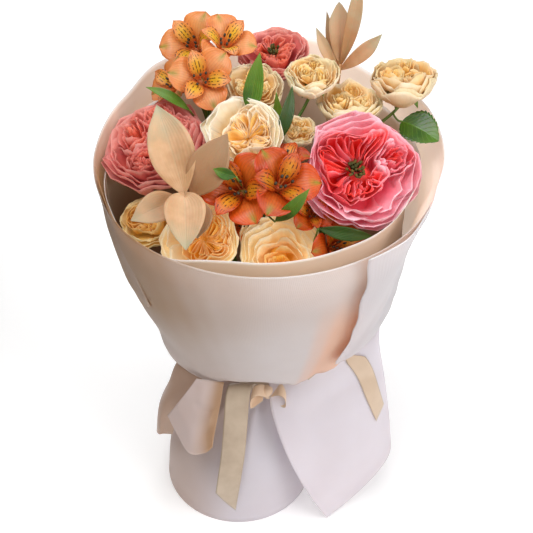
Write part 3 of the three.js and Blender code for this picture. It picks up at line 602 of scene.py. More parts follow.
# at is the middle of the flower and across its width, in mm. lean is the azimuth and tilt of its
# face, slot its place in the tie, and eye the middle of the face in flower radii.
ROSES = table("at across lean kind skin slot eye", [
    ("rose_pink", (117, -17, 452), 106, (-85, 34), PINK_ROSE, "pink", (6.6, -20), (-0.08, 0.04)),
    ("rose_coral_left", (-74, 32, 447), 100, (-135, 18), CORAL_ROSE, "coral", (6.6, 160), (0.1, -0.1)),
    ("rose_coral_back", (38, 133, 478), 66, (-90, 12), OPEN_CORAL, "coral", (6.6, 100), (0, 0)),
    ("rose_cream_middle", (8, 15, 474), 72, (-100, 24), CREAM_ROSE, "cream", (0, 0), (0.15, -0.1)),
    ("rose_cream_left", (-31, -61, 410), 70, (-110, 36), CREAM_ROSE, "warm_cream", (6.6, -140), (0.2, -0.1)),
    ("rose_cream_front", (43, -68, 400), 76, (-85, 30), SWIRLED_ROSE, "warm_cream", (6.6, -80), (0.0, -0.4)),
    ("rose_yellow", (-81, -23, 398), 54, (-120, 22), CREAM_ROSE, "yellow", (12.2, -172), (0, 0)),
])
SPRAY_ROSES = table("at across lean skin", [
    ("spray_rose_1", (19, 81, 475), 54, (-90, 18), "spray"),
    ("spray_rose_2", (74, 76, 494), 48, (-100, 6), "spray"),
    ("spray_rose_3", (110, 68, 468), 60, (100, 4), "spray"),
    ("spray_rose_4", (161, 74, 492), 62, (110, 8), "warm_spray"),
    ("spray_rose_bud", (61, 36, 458), 34, (-90, 10), "spray"),
])
print("roses:", len(ROSES), "large and", len(SPRAY_ROSES), "small")

# %% Building the roses
PETAL_THICKNESS = 0.25 * MM
ROSE_BASE = -0.52    # where the underside of a rose is, in flower radii
STAMEN = Finish("stamen", 0.7)
STAMEN.blend(STAMEN.mark("chance"), "2f3a0c", "6b5a1c")
STAMEN.wear(glows=False)


def rose(name, spec, kind, node, seed, eye=(0, 0)):
    """Builds one bloom and tells how many faces it has."""
    bm = new_mesh()
    dice = Random(seed)
    radius = spec["across"] / 2 * MM
    flower = flower_frame(spec)
    heart_of(bm, flower, radius)
    for ring in kind["whorls"]:
        whorl(bm, flower, radius, dice, eye=eye, **ring)
    for azimuth, width, nest in kind.get("packets", []):
        inner, reach, *shape = kind["fans"]
        spin = azimuth + dice.uniform(-5, 5)
        fan(bm, flower, radius, dice, eye, spin, width, nest, inner, reach * dice.uniform(0.82, 1.05), *shape)
    for small in kind.get("rosettes", []):
        rosette(bm, flower, radius, dice, *small)
    if "stamens" in kind:
        stamens(bm, flower @ Matrix.Translation(Vector((*eye, 0)) * radius), radius, dice, *kind["stamens"])
    print(name, len(bm.faces), "faces")
    slot = spec["skin"] if spec["skin"] in ("pink", "coral", "yellow") else "cream"
    finished(f"{name}_bloom", bm, [PETALS[spec["skin"]], STAMEN], node, PETAL_THICKNESS)


for seed, (name, spec) in enumerate(ROSES.items()):
    rose(name, spec, spec["kind"], f"{name}_flower", seed + 1, spec["eye"])
for seed, (name, spec) in enumerate(SPRAY_ROSES.items()):
    rose(name, spec, SPRAY_ROSE, name, seed + 31)

# %% [markdown]
# ## Alstroemerias
#
# Each flower is a funnel of six petals: three broad outer ones with a green streak at the tip,
# and three narrow inner ones with a yellow patch and dark dashes. Six threads with dark ends
# stand in the throat. Patch and dashes are drawn with the marks, so they follow each petal's
# bend and stay sharp however near the camera comes.

# %% Alstroemeria finishes
def alstroemeria_finish(name, body, pale, deep, gold):
    skin = Finish(name, 0.42, Subsurface_Weight=0.4, Subsurface_Scale=0.005,
                  Subsurface_Radius=(1.0, 0.4, 0.2), Emission_Strength=GLOW)
    across, along = skin.mark("across"), skin.mark("along")
    outer, chance = skin.mark("depth"), skin.mark("chance")
    side = (across * 2 - 1).abs()
    cloud = skin.noise(skin.place(), 90, 2)
    skin.blend((1 - side).ramp(0.1, 1) * 0.7, body, pale)
    skin.tint((cloud.ramp(0.35, 0.75) * 0.35 + (chance - 0.5) * 0.3).clamped(), deep)
    skin.tint((1 - along).ramp(0.45, 0.95), deep)
    veins = (across * (2 * pi * 13)).sine()
    skin.tint(veins.ramp(0.3, 1) * along.ramp(0.1, 0.5) * 0.22, deep)
    streak = outer * along.ramp(0.7, 0.88) * (1 - side * 3).clamped()
    skin.tint(streak * 0.85, "6c8426")
    patch = (1 - outer) * along.ramp(0.3, 0.45) * (1 - along.ramp(0.7, 0.9)) * (1 - side * 0.9).clamped()
    skin.tint(patch * gold, "f5b81c")
    dash = (across * (2 * pi * 5.5) + 0.8).sine().ramp(0.45, 0.7)
    broken = skin.noise(skin.spot(across * 6, along * 16, chance * 50), 1.0, 1).ramp(0.48, 0.54)
    dashes = (1 - outer) * dash * broken * along.ramp(0.3, 0.4) * (1 - along.ramp(0.86, 0.97))
    skin.tint(dashes * 0.95, "3a0d06")
    skin.wear()
    skin.bump(veins * 0.5 + cloud, 0.25, 0.0005)
    return skin


TEPALS = {
    "light": alstroemeria_finish("alstroemeria_light", "ee8448", "f8a874", "c44c14", 0.9),
    "red": alstroemeria_finish("alstroemeria_red", "d23e06", "e66e28", "741202", 0.4),
}
FILAMENT = Finish("filament", 0.5)
FILAMENT.blend(FILAMENT.mark("along").ramp(0.8, 0.86), "e08a4a", "3d3426")
FILAMENT.wear(glows=False)
print("tepal finishes:", ", ".join(TEPALS))

# %% Places of the alstroemerias
ALSTROEMERIAS = table("at across lean", [
    (1, (-41, 121, 498), 56, (-115, 38)), (2, (-8, 112, 508), 52, (-60, 20)),
    (3, (-29, 66, 497), 56, (-80, 42)), (4, (-61, 84, 478), 46, (-160, 50)),
    (5, (5, -50, 460), 62, (-110, 40)), (6, (46, -48, 466), 60, (-65, 34)),
    (7, (49, -8, 463), 42, (60, 15)), (8, (10, -38, 408), 44, (-95, 45)),
    (9, (97, -62, 402), 50, (-50, 45)), (10, (73, -44, 426), 36, (-80, 30)),
])
ALSTROEMERIAS[8]["down"] = 50     # its branch leaves the stem far below the fork
THROAT = -0.95       # where a funnel ends below, in flower radii
LAST_LIGHT = 4       # flowers 1 to 4 are light orange, the others orange red
print("alstroemerias:", len(ALSTROEMERIAS), "of them light orange:", LAST_LIGHT)


# %% One petal of an alstroemeria
def tepal(bm, flower, radius, dice, *, spin, root, belly, reach, rise, width, outer, blunt=0.6):
    """One petal of the funnel: narrow in the throat, then opening outwards."""
    forward, sideways = turned(spin), turned(spin + 90)
    cup, wave = dice.uniform(0.15, 0.3), dice.uniform(0, 6.3)

    def place(u, v):
        s = 2 * u - 1
        half = width * (0.2 * (1 - v) + sin(pi * clamp(v, 0, 1) ** 1.6) ** blunt)
        out = bezier(root, belly, reach, v)
        up = bezier(0.85 * THROAT, 0.05, rise, v) - 0.12 * smooth(v, 0.7, 1)
        local = forward * out + sideways * half * s
        local.z = up + cup * half * s ** 2 + 0.02 * sin(5 * s + 7 * v + wave) * v
        return flower @ (local * radius)

    grow(bm, 8, 12, place, depth=outer, chance=dice.random())


def filament(bm, flower, radius, lean_to, top):
    """A thread that swells at its end."""
    tube(bm, lambda t: flower @ ((Vector((0, 0, -0.7)).lerp(top, t) + lean_to * 0.3 * sin(pi * t)) * radius),
         lambda t: radius * (0.018 + 0.026 * smooth(t, 0.8, 0.88)), 5, 8, 1)


# %% Building the alstroemerias
for number, spec in ALSTROEMERIAS.items():
    bm = new_mesh()
    dice = Random(60 + number)
    radius, flower = spec["across"] / 2 * MM, flower_frame(spec)
    turn = dice.uniform(0, 120)
    for i in range(3):
        tepal(bm, flower, radius, dice, spin=turn + 120 * i + dice.uniform(-6, 6), root=0.1, belly=0.34,
              reach=1.2, rise=0.12, width=0.56, outer=1.0)
        tepal(bm, flower, radius, dice, spin=turn + 60 + 120 * i + dice.uniform(-6, 6), root=0.04,
              belly=0.16, reach=0.96, rise=0.42, width=0.3, outer=0.0, blunt=0.75)
    tube(bm, lambda t: flower @ Vector((0, 0, lerp(THROAT, -0.5, t) * radius)),
         lambda t: radius * (0.09 + 0.07 * t), 8, 4, depth=1.0, chance=0.5)
    for i in range(6):
        lean_to = turned(turn + 60 * i + dice.uniform(-15, 15)) * dice.uniform(0.12, 0.3)
        filament(bm, flower, radius, lean_to, lean_to + Vector((0, 0, dice.uniform(0.0, 0.22))))
    tone, slot = ("light", "light_orange") if number <= LAST_LIGHT else ("red", "orange_red")
    finished(f"alstroemeria_{number}_bloom", bm, [TEPALS[tone], FILAMENT],
             f"alstroemeria_{number}_flower", PETAL_THICKNESS)
print("each alstroemeria: 6 petals and 6 threads")

# %% [markdown]
# ## Stems and leaves
#
# Every stem stands on the table, runs straight through the tie and bends out to its flower.
# The ways are those of the solid model. A leaf is a grid whose width follows a sine: that gives
# it two pointed ends, and `belly` says where it is widest. Veins are finer than a face of the
# grid, so they are left to the material. The teeth of the rose leaf show in its outline, so they
# are in the mesh.

# %% Ways of the stems
BEND_STEPS = 24


def bend(start, leave, end, arrive):
    """Points of a cubic Bezier curve that leaves and arrives in given directions."""
    pull = (end - start).length * 0.35
    b, c = start + leave.normalized() * pull, end - arrive.normalized() * pull
    return [start * (1 - t) ** 3 + b * 3 * t * (1 - t) ** 2 + c * 3 * t ** 2 * (1 - t) + end * t ** 3
            for t in (i / BEND_STEPS for i in range(BEND_STEPS + 1))]


UP = Vector((0, 0, 1))
TIE_X, TIE_LOW, TIE_HIGH = 22, 150, 178      # the tie stands 22 mm to the right of the foot's middle


def stem_line(slot, end, arrive):
    """The whole of a stem: cut end on the table, through its place in the tie, then to its end."""
    place = turned(slot[1]) * slot[0] * MM
    low, high = place + at(TIE_X, 0, TIE_LOW), place + at(TIE_X, 0, TIE_HIGH)
    return bend(place * 1.7, UP, low, UP) + bend(high, UP, end, arrive)


def follow(points):
    """A way t -> point at even speed along a list of points."""
    lengths = [0.0]
    for a, b in zip(points, points[1:]):
        lengths.append(lengths[-1] + (b - a).length)

    def way(t):
        reach = clamp(t) * lengths[-1]
        i = next((i for i in range(1, len(points) - 1) if lengths[i] >= reach), len(points) - 1)
        span = lengths[i] - lengths[i - 1]
        return points[i - 1].lerp(points[i], (reach - lengths[i - 1]) / span if span else 0)

    way.length = lengths[-1]
    return way


def back_along(way, down): return way(1 - down * MM / way.length)
def way_to(start, spec, base): return follow(bend(start, UP, underside_of(spec, base), face_of(spec)))


# %% Leaf and stem finishes
def leaf_finish(name, light, dark, tip, veins, vein_strength, roughness, rib=0.0, net=0.0,
                shadow="1e4008"):
    skin = Finish(name, roughness, Subsurface_Weight=0.15, Subsurface_Scale=0.002)
    across, along, chance = skin.mark("across"), skin.mark("along"), skin.mark("chance")
    side = (across * 2 - 1).abs()
    cloud = skin.noise(skin.place(), 45, 3)
    skin.blend((cloud + (chance - 0.5) * 0.5).ramp(0.35, 0.7), light, dark)
    skin.tint((along + (cloud - 0.5) * 0.9).ramp(0.5, 1.0) * 0.75, tip)
    lines = (across * (2 * pi * veins) + skin.noise(skin.place(), 30, 1) * 2).sine()
    height = lines * vein_strength
    skin.tint(lines.ramp(0.4, 1) * 0.3 * vein_strength, dark)
    if rib:
        middle = (1 - side * 14).clamped()
        skin.tint(middle * rib, tip)
        height = height - middle * 0.8
    if net:
        slanted = ((along - side * 0.32) * (2 * pi * 8)).sine().ramp(0.86, 1)
        skin.tint(slanted * net, tip)
        height = height - slanted * 0.8
    skin.tint(skin.mark("depth") * 0.8, shadow)
    skin.wear(glows=False)
    skin.bump(height + cloud * 0.4, 0.35, 0.0005)
    return skin


GREEN_LEAF = leaf_finish("green_leaf", "5d8a22", "33600f", "7f9f3a", 9, 0.8, 0.35, rib=0.35)
ROSE_LEAF = leaf_finish("rose_leaf", "3d6314", "264a0c", "55801f", 3, 0.1, 0.28, rib=0.7, net=0.6)
RUSCUS_LEAF = leaf_finish("ruscus_leaf", "dab189", "bd9064", "b3b99b", 13, 0.2, 0.55, rib=0.15,
                          shadow="9c7048")
STEM_GREEN = leaf_finish("stem_green", "6f8f3a", "4a6d22", "6f8f3a", 4, 0.3, 0.5)
RUSCUS_STEM = leaf_finish("ruscus_stem", "d9a878", "c08d5c", "d9a878", 4, 0.3, 0.6)
print("leaf and stem finishes: 5")


# %% One leaf
def leaf(bm, base, tip, dice, *, width, hollow, fold=0.12, rise=0.08, belly=0.45, blunt=0.85,
         teeth=0.0, heart_base=False, material=1, rows=24, shade=0.0):
    """A leaf from base to tip whose face looks towards hollow, folded a little along its rib."""
    run, hollow = tip - base, Vector(hollow)
    face = (hollow - run * (hollow.dot(run) / run.length_squared)).normalized()
    side = run.normalized().cross(face)
    sway = dice.uniform(-0.02, 0.02)

    def place(u, v):
        s = 2 * u - 1
        swell = (0.5 * v / belly if v < belly else 0.5 + 0.5 * (v - belly) / (1 - belly))
        half = 0.5 * width * MM * sin(pi * swell) ** (0.5 if heart_base and v < belly else blunt)
        half *= 1 - teeth * ((v * 11) % 1) if teeth else 1
        half *= 1 - 0.25 * smooth(v, 0.75, 1)
        lift = fold * abs(s) ** 1.4 * half * 2 + rise * run.length * sin(pi * v)
        back = -0.16 * width * MM * abs(s) if heart_base and v < 0.3 else 0
        point = base + run * v - side * (s * half) + face * lift
        return point + run.normalized() * back * (1 - v / 0.3) + side * sway * run.length * sin(pi * v)

    grow(bm, 10, rows, place, material, chance=dice.random(), depth=shade)


# %% The star under a flower
def green_star(bm, spec, dice):
    """The green star under a flower, its tips bent down and out."""
    flower, radius = flower_frame(spec), spec["across"] / 2 * MM
    for i in range(5):
        direction = turned(72 * i + 20 + dice.uniform(-9, 9))
        reach = dice.uniform(0.5, 0.66)

        def place(u, v):
            half = 0.16 * sin(pi * (0.15 + 0.85 * v)) ** 0.8
            local = direction * (0.1 + reach * v) + direction.cross(UP) * half * (2 * u - 1)
            local.z = -0.5 - 0.3 * v ** 2 + 0.12 * sin(pi * v)
            return flower @ (local * radius)

        grow(bm, 4, 8, place, 1, chance=dice.random())


# %% Rose stems
LEAF_THICKNESS = 0.35 * MM
for name, spec in ROSES.items():
    bm = new_mesh()
    way = follow(stem_line(spec["slot"], underside_of(spec, ROSE_BASE), face_of(spec)))
    tube(bm, way, (2.2 if spec["slot"][0] > 10 else 3.0) * MM, 12, 60, chance=0.5)
    finished(f"{name}_green_stem", bm, [STEM_GREEN], f"{name}_stem")
print("rose stems:", len(ROSES))

# %% Forked stems
ROOT = 3             # how far below its fork a stem sends out a branch, in mm
FORKED = [
    dict(name="spray_stem_back", seed=80, slot=(12.2, 71), radius=2.2, fork=(44, 46, 418),
         flowers=["spray_rose_1", "spray_rose_2", "spray_rose_bud"],
         leaves=[dict(tip=(40, 52, 492), width=13, hollow=(0.2, -1, 0.3), rise=0.05),
                 dict(tip=(25, 62, 529), base=(15, 40, 476), width=18, hollow=(0, -1, 0.2), rise=0.02,
                      belly=0.35),
                 dict(tip=(55, 50, 500), base=(40, 18, 456), width=13, hollow=(0.2, -1, 0.3), shade=1.0)],
         sepals=["spray_rose_2", "spray_rose_1"]),
    dict(name="spray_stem_right", seed=81, slot=(6.6, 40), radius=3.0, fork=(112, 50, 420),
         flowers=["spray_rose_3", "spray_rose_4"],
         leaves=[dict(on="spray_rose_4", tip=(190.5, 14, 463), base=(158, 40, 466), width=36,
                      hollow=(0, -0.5, 1), belly=0.4, teeth=0.1, material=2, rows=66, blunt=0.6)],
         sepals=["spray_rose_3", "spray_rose_4"]),
    dict(name="alstroemeria_stem_left", seed=90, slot=(12.2, 128), fork=(-26, 80, 430), flowers=[1, 2, 3, 4],
         leaves=[dict(tip=(-83, 68, 485), base=(-41, 52, 469), width=11, hollow=(0, -0.3, 1), rise=0.12)]),
    dict(name="alstroemeria_stem_middle", seed=91, slot=(12.2, -110), fork=(20, -12, 420),
         flowers=[5, 6, 7, 8],
         leaves=[dict(tip=(69, -69, 477), base=(38.5, -67, 436), width=13, hollow=(0.3, -1, 0.8)),
                 dict(tip=(-16.5, -48, 482), base=(4, -52, 476), width=11, hollow=(0, -1, 0.4)),
                 dict(tip=(-24, -16, 462), width=13, hollow=(0, -1, 0.4), shade=1.0)]),
    dict(name="alstroemeria_stem_right", seed=92, slot=(12.2, -50), fork=(66, -34, 350), flowers=[9, 10],
         leaves=[dict(tip=(129, -62, 413), base=(78, -62, 423), width=13, hollow=(0, -1, 0.6), shade=0.8)]),
]
print("branches:", sum(len(stem["flowers"]) for stem in FORKED))

# %% Building the forked stems
HEADS = SPRAY_ROSES | ALSTROEMERIAS


def branched(name, seed, slot, fork, flowers, leaves, radius=2.2, sepals=()):
    """A stem that forks into one thin branch for each flower, with its leaves."""
    bm = new_mesh()
    dice = Random(seed)
    way = follow(stem_line(slot, at(*fork), UP))
    tube(bm, way, radius * MM, 12, 60, chance=dice.random())
    branches = {}
    for key in flowers:
        spec, under = HEADS[key], ROSE_BASE if key in SPRAY_ROSES else THROAT
        branches[key] = way_to(back_along(way, spec.get("down", ROOT)), spec, under)
        tube(bm, branches[key], lambda t: (1.3 + 0.5 * (1 - t) ** 2) * MM, 8, 24, chance=dice.random())
    for blade in leaves:
        shape = dict(blade)
        on, tip, base = shape.pop("on", None), at(*shape.pop("tip")), shape.pop("base", None)
        root = branches[on](0.72) if on else back_along(way, ROOT)
        if base:
            base = at(*base)
            sag = lerp(root, base, 0.5) + at(0, 0, -6)
            tube(bm, lambda t: bezier(root, sag, base, t), 0.8 * MM, 6, 12)
        leaf(bm, base or root, tip, dice, **shape)
    for key in sepals:
        green_star(bm, HEADS[key], dice)
    finished(f"{name}_green", bm, [STEM_GREEN, GREEN_LEAF, ROSE_LEAF], name, LEAF_THICKNESS)


for stem in FORKED:
    branched(**stem)
print("forked stems:", len(FORKED))

# %% Bleached ruscus
RUSCUS = [
    dict(name="ruscus_spray_left", slot=(12.2, -142), joint=(-42, -55, 455), elbow=(-46, -26, 436),
         hollow=(0, -0.65, 0.76), leaves=[
             dict(tip=(-31, -80, 427), width=26, base=(-30, -52, 450), shade=0.7),
             dict(tip=(-68, 8, 510), width=41, base=(-42, -58, 459), rise=0.05),
             dict(tip=(-3.5, -22, 501), width=36, base=(-36, -52, 452), shade=1.0),
             dict(tip=(-90, -76, 445), width=28, base=(-46, -54, 452), shade=0.3),
             dict(tip=(-40, -104, 435), width=37, base=(-42, -63, 461), belly=0.26, heart_base=True)]),
    dict(name="ruscus_spray_back", slot=(12.2, 53), joint=(102, 104, 486), elbow=(99, 101, 455),
         hollow=(0, -0.9, 0.3), leaves=[
             dict(tip=(99, 116, 548), width=21, belly=0.66, blunt=0.65, shade=0.3),
             dict(tip=(118, 118, 574), width=14, belly=0.6), dict(tip=(140, 101, 522), width=15, belly=0.6),
             dict(tip=(78, 112, 522), width=11, belly=0.6), dict(tip=(88, 122, 534), width=11, shade=0.6)]),
]
for seed, spray in enumerate(RUSCUS):
    bm = new_mesh()
    dice = Random(100 + seed)
    elbow, joint = at(*spray["elbow"]), at(*spray["joint"])
    way = follow(stem_line(spray["slot"], elbow, joint - elbow) + [joint])
    tube(bm, way, 1.8 * MM, 10, 70, chance=0.5)
    for i, blade in enumerate(spray["leaves"]):
        shape = dict(blade)
        tip = at(*shape.pop("tip"))
        base = at(*shape.pop("base")) if "base" in shape else joint.lerp(elbow, 0.12 * i)
        leaf(bm, base, tip, dice, hollow=spray["hollow"], fold=0.16, **shape)
    finished(f"{spray['name']}_bleached", bm, [RUSCUS_STEM, RUSCUS_LEAF], spray["name"],
             LEAF_THICKNESS)
print("ruscus sprays:", len(RUSCUS))

# %% [markdown]
# ## The wrap's shared surface
#
# All the sheets of the cup lie on one oval cone, wide from side to side, that closes to a neck
# at the tie. The rule below gives its surface at an azimuth and a height: the same levels as in
# the solid model, with a smooth curve between them. Sheets shaped one by one would cut through
# each other. On a shared surface each sheet only says how far it stands off.

# %% The oval cone
LEVELS = [           # height, half width, depth to the front, depth to the back, in mm
    (200, 103, 56, 42), (290, 131, 92, 90), (380, 152, 128, 130), (480, 167, 170, 168),
]
NECK_OPEN = 200      # the height at which the sheets reach the cone
CENTRE_LOW, CENTRE_HIGH = (27, 2, 200), (31, 8, 450)


def on_levels(z, column):
    """One column of LEVELS at any height, along a smooth curve."""
    heights = [level[0] for level in LEVELS]
    i = min(max(sum(z >= h for h in heights) - 1, 0), len(heights) - 2)
    share = (z - heights[i]) / (heights[i + 1] - heights[i])
    return spline([level[column] for level in LEVELS], i + share)


def cone(azimuth, z, offset=0.0, neck=None):
    """A point of the shared surface, moved out by offset. Below NECK_OPEN a sheet with a neck
    narrows to that radius in the tie. All in mm."""
    share = (z - CENTRE_LOW[2]) / (CENTRE_HIGH[2] - CENTRE_LOW[2])
    open_z = max(z, NECK_OPEN) if neck else z
    wide, depth = on_levels(open_z, 1), on_levels(open_z, 2 if sin(radians(azimuth)) < 0 else 3)
    reach = 1 / hypot(cos(radians(azimuth)) / wide, sin(radians(azimuth)) / depth) + offset
    centre = at(lerp(CENTRE_LOW[0], CENTRE_HIGH[0], share), lerp(CENTRE_LOW[1], CENTRE_HIGH[1], share), z)
    opened = centre + turned(azimuth) * reach * MM
    if z >= NECK_OPEN or not neck:
        return opened
    bound = at(TIE_X, 0, z) + turned(azimuth) * neck * MM
    return bound.lerp(opened, clamp((z - TIE_HIGH) / (NECK_OPEN - TIE_HIGH)))


print("width of the cup at 300 and 450 mm:", [round(2 * on_levels(z, 1)) for z in (300, 450)], "mm")

# %% [markdown]
# ## Laid paper
#
# The wrap is a matt, slightly pearly paper with very fine lines pressed into it, a pale
# greyish pink outside and peach on its inner face. The lines run up the sheet, so they follow the
# mark `across`. A faint cloud keeps large areas from looking like plastic.
#
# Each sheet is a grid on the cone, from one azimuth to another. Rules made by `stops` say how
# its edges run, how far it stands off the cone, and where it is shaded. A cloth simulation
# would crease the paper by itself, but the edges have to lie where the photograph shows them.

# %% Paper finishes
def paper_finish(name, base, shade, lines=0.0, glow=0.0, shadow="9a7550"):
    """base and shade are two tones of the paper that a faint cloud mixes. The mark depth paints shade onto
    the paper, and the mark chance paints shade with a peach reflection in it.
    """
    paper = Finish(name, 0.55, Subsurface_Weight=0.6, Subsurface_Scale=0.004,
                   Subsurface_Radius=(1, 0.85, 0.75), Emission_Strength=glow)
    cloud = paper.noise(paper.place(), 9, 3)
    height = paper.noise(paper.place(), 700, 2) * 0.35
    paper.blend(cloud.ramp(0.3, 0.7), base, shade)
    # Painted highlight: a thin pale line along the upper edge of each sheet.
    paper.tint(paper.mark("along").ramp(0.988, 0.996) * 0.5, "f9f8f9")
    # Painted shade from the mark depth, then painted shade with a peach reflection from the mark chance.
    paper.tint(paper.mark("depth"), shadow)
    paper.tint(paper.mark("chance"), "e89c70")
    if lines:
        laid = (paper.mark("across") * (LAID_LINES * 2 * pi)).sine()
        paper.tint(laid.ramp(0.2, 1) * lines, "b3a6a6")
        height = height + laid * 0.4
    paper.wear()
    paper.give("Roughness", 0.5 + cloud * 0.15)
    paper.bump(height, 0.25, 0.0004)
    return paper


LAID_LINES = 230     # on the whole width of a sheet
# The outer sheet has the outside paper painted darker and cooler: painted shade on its brightly lit right
# panel. The inner face glows a little, painted light for light coming through the paper, and the skirt glows
# less, painted light in its shade.
OUTSIDE = paper_finish("wrap_paper", "d1c5c2", "c8bab6", lines=0.22)
SHADED_OUTSIDE = paper_finish("wrap_paper_shaded", "c1bbbd", "b9b2b5", lines=0.16)
INSIDE = paper_finish("wrap_paper_inside", "f3dccd", "eed0bd", glow=0.22)
CREAM = paper_finish("inner_paper", "e8ddcb", "ddd0bb", shadow="8a6e54")
SKIRT_PAPER = paper_finish("skirt_paper", "dad0d7", "d0c4ca", glow=0.05)
print("paper finishes: 5, the outer ones with", LAID_LINES, "pressed lines")

# %% Wrapping sheets
PAPER = 0.5 * MM
rim_heights = stops(
    (-200, 458), (-180, 451), (-150, 447), (-90, 444), (-51, 446), (0, 456), (25, 462), (50, 454),
    (75, 470), (110, 468), (131, 467), (150, 457), (180, 451), (200, 448),
)


def crease(azimuth, z, size=0.8):
    """Small uneven waves that a sheet of paper has wherever it was handled."""
    return size * noise.noise(Vector((azimuth * 0.035, z * 0.011, 3.7)))


def wrap_sheet(name, finishes, start, stop, lower, upper, offset, columns, rows, neck=None,
               lean=lambda z: 0, trail=lambda z: 0, painted_shade=lambda azimuth, z: 0, peach=lambda azimuth, z: 0):
    """A sheet on the cone. lean and trail move its two upright edges; the last two rules paint shade and a
    peach reflection onto it.
    """
    bm = new_mesh()

    def spot(u, v):
        azimuth = lerp(start, stop, u)
        z = lerp(lower(azimuth), upper(azimuth), v)
        return azimuth + lean(z) * (1 - u) ** 6 + trail(z) * u ** 10, z

    def place(u, v):
        azimuth, z = spot(u, v)
        return cone(azimuth, z, offset(azimuth, z), neck)

    grow(bm, columns, rows, place, depth=lambda u, v: painted_shade(*spot(u, v)),
         chance=lambda u, v: peach(*spot(u, v)))
    finished(name, bm, finishes, f"wrap_{name}", PAPER, back=len(finishes) - 1)
    print(name, "azimuth", start, "to", stop)


# %% Front sheet
front_lower = stops(
    (-192, 236), (-181, 213), (-164, 198), (-152, 194), (-147, 193), (-138, 198), (-121, 205), (-91, 208),
    (-67, 200), (-57, 194), (-51, 201), (-45, 214), (-38, 211), (-33, 214), (-30, 228), (-24, 236),
)
left_tuck = stops((-192, 1), (-165, 1), (-140, 0), (140, 0), (168, 1), (192, 1))
# Painted shade on the front sheet: left_shade darkens its left side, and near_panel paints shade with a peach
# reflection beside the right panel.
left_shade = stops((-160, 1), (-144, 0.92), (-130, 0.76), (-119, 0.5), (-110, 0.3), (-80, 0))
near_panel = stops((-66, 0), (-58, 0.35), (-51, 0.68), (-40, 0.7))
inset_by_height = stops(
    (265, -3), (285, -0.5), (310, 3), (345, 6.5), (378, 10.5), (396, 12), (412, 10.5), (428, 7), (442, 2),
)


def right_inset(azimuth, z):
    """At the right, all three sheets are drawn in below the rim."""
    return inset_by_height(z) * smooth(azimuth, -40, -12) * smooth(-azimuth, -70, -25)


def tuck(azimuth, z):
    """At the left, the front and inner sheets draw in and leave a shaded gap at the edge."""
    near_tie = 3 * smooth(z, 210, 240) * (1 - smooth(z, 245, 285))
    return left_tuck(azimuth) * (3.2 + 2.8 * smooth(z, 390, 430) + near_tie)


# Painted shade: strongest at the left and growing with height, plus a little on the whole upper part.
def front_shade(azimuth, z):
    rising = 0.35 + 0.65 * smooth(z, 215, 350)
    return left_shade(azimuth) * rising + 0.16 * smooth(z, 270, 360)


wrap_sheet(
    "front_sheet", [OUTSIDE, INSIDE], -192, -24, front_lower, rim_heights,
    lambda a, z: 0.6 + crease(a, z) - tuck(a, z) - 0.85 * right_inset(a, z), 150, 44,
    lean=lambda z: 20 * smooth(z, 290, 350), painted_shade=front_shade,
    peach=lambda a, z: near_panel(a + 0.06 * (z - 300)) * (1 - smooth(z, 300, 400)))

# %% Outer sheet
outer_lower = stops(
    (-48, 250), (-45, 240), (-40, 234), (-34, 231), (-24, 232), (-12, 236), (12, 242), (24, 205), (36, 176),
    (48, 162), (132, 162), (144, 176), (156, 205), (168, 240), (180, 280), (188, 285), (196, 294), (204, 308),
    (210, 320),
)
outer_stand_off = stops((-48, 8), (-30, 0.5), (-18, -2.5), (0, 0), (210, 0))
outer_rise = stops((-48, 14), (-10, 3), (20, 0), (200, -1))
panel_edge = stops((250, 3), (285, 3), (320, 0), (390, -6), (465, -12))
left_edge = stops((390, 1), (412, 0), (430, -4), (447, -10))
left_stand_off = stops(
    (272, -5), (290, -4.5), (305, -4), (325, -2.2), (355, -2.6), (385, -3.2), (425, -5.5), (460, -5),
)
# Painted shade on both faces of the outer sheet, darkest at the left and half as strong at the rim.
left_painted_shade = stops((60, 0), (100, 0.35), (150, 0.55), (165, 0.7), (180, 1), (196, 1), (210, 0.8))
wrap_sheet(
    "outer_sheet", [SHADED_OUTSIDE, INSIDE], -48, 210,
    outer_lower, lambda a: rim_heights(a) + outer_rise(a),
    lambda a, z: (2.9 + outer_stand_off(a) + crease(a, z)
                  + left_stand_off(z) * smooth(a, 105, 160) - right_inset(a, z)),
    200, 50, neck=19.9, lean=panel_edge, trail=left_edge,
    painted_shade=lambda a, z: left_painted_shade(a) * (1 - 0.5 * smooth(z, 425, 450)))

# %% Inner sheet
liner_inset = stops(
    (-180, 0.8), (-150, 2), (-130, 8), (-100, 21), (-60, 23), (-20, 17), (10, 10), (60, 3), (100, 2.5),
    (140, 6), (165, 3), (180, 0.8),
)
liner_top = stops((-180, 426), (-130, 428), (-112, 437), (150, 437), (180, 426))


def liner_offset(azimuth, z):
    closing = clamp((z - 290) / 147, 0.25, 1)
    low = 10 * (1 - smooth(z, 212, 262))
    return (-0.6 - max(0.8, liner_inset(azimuth) * closing) - tuck(azimuth, z)
            - right_inset(azimuth + 9, z) - low)


# Painted shade: the inner sheet grows darker below 425 mm, deeper in the cup.
wrap_sheet(
    "inner_sheet", [CREAM], -180, 180, lambda a: 148, liner_top,
    liner_offset, 150, 60, neck=18.4, painted_shade=lambda a, z: 1 - smooth(z, 350, 425))

# %% [markdown]
# ## The skirt
#
# Below the tie the paper opens again into a round skirt that stands on the table, with a pointed flap at the
# right and a folded one at the left. The skirt is a lathe shape, so the grid goes once round. The flaps fell
# as they liked, which no formula gives, so they run through listed rows of points.

# %% Skirt
SKIRT = [            # height, radius, sideways place of the middle, depth of the pleats, in mm
    (0, 81, 0, 0), (58, 80, 5, 0), (100, 68, 11, 0.6), (132, 43, 18, 1.4), (148, 21.8, 22, 0.4),
    (160, 21.5, 22, 0.3),
]


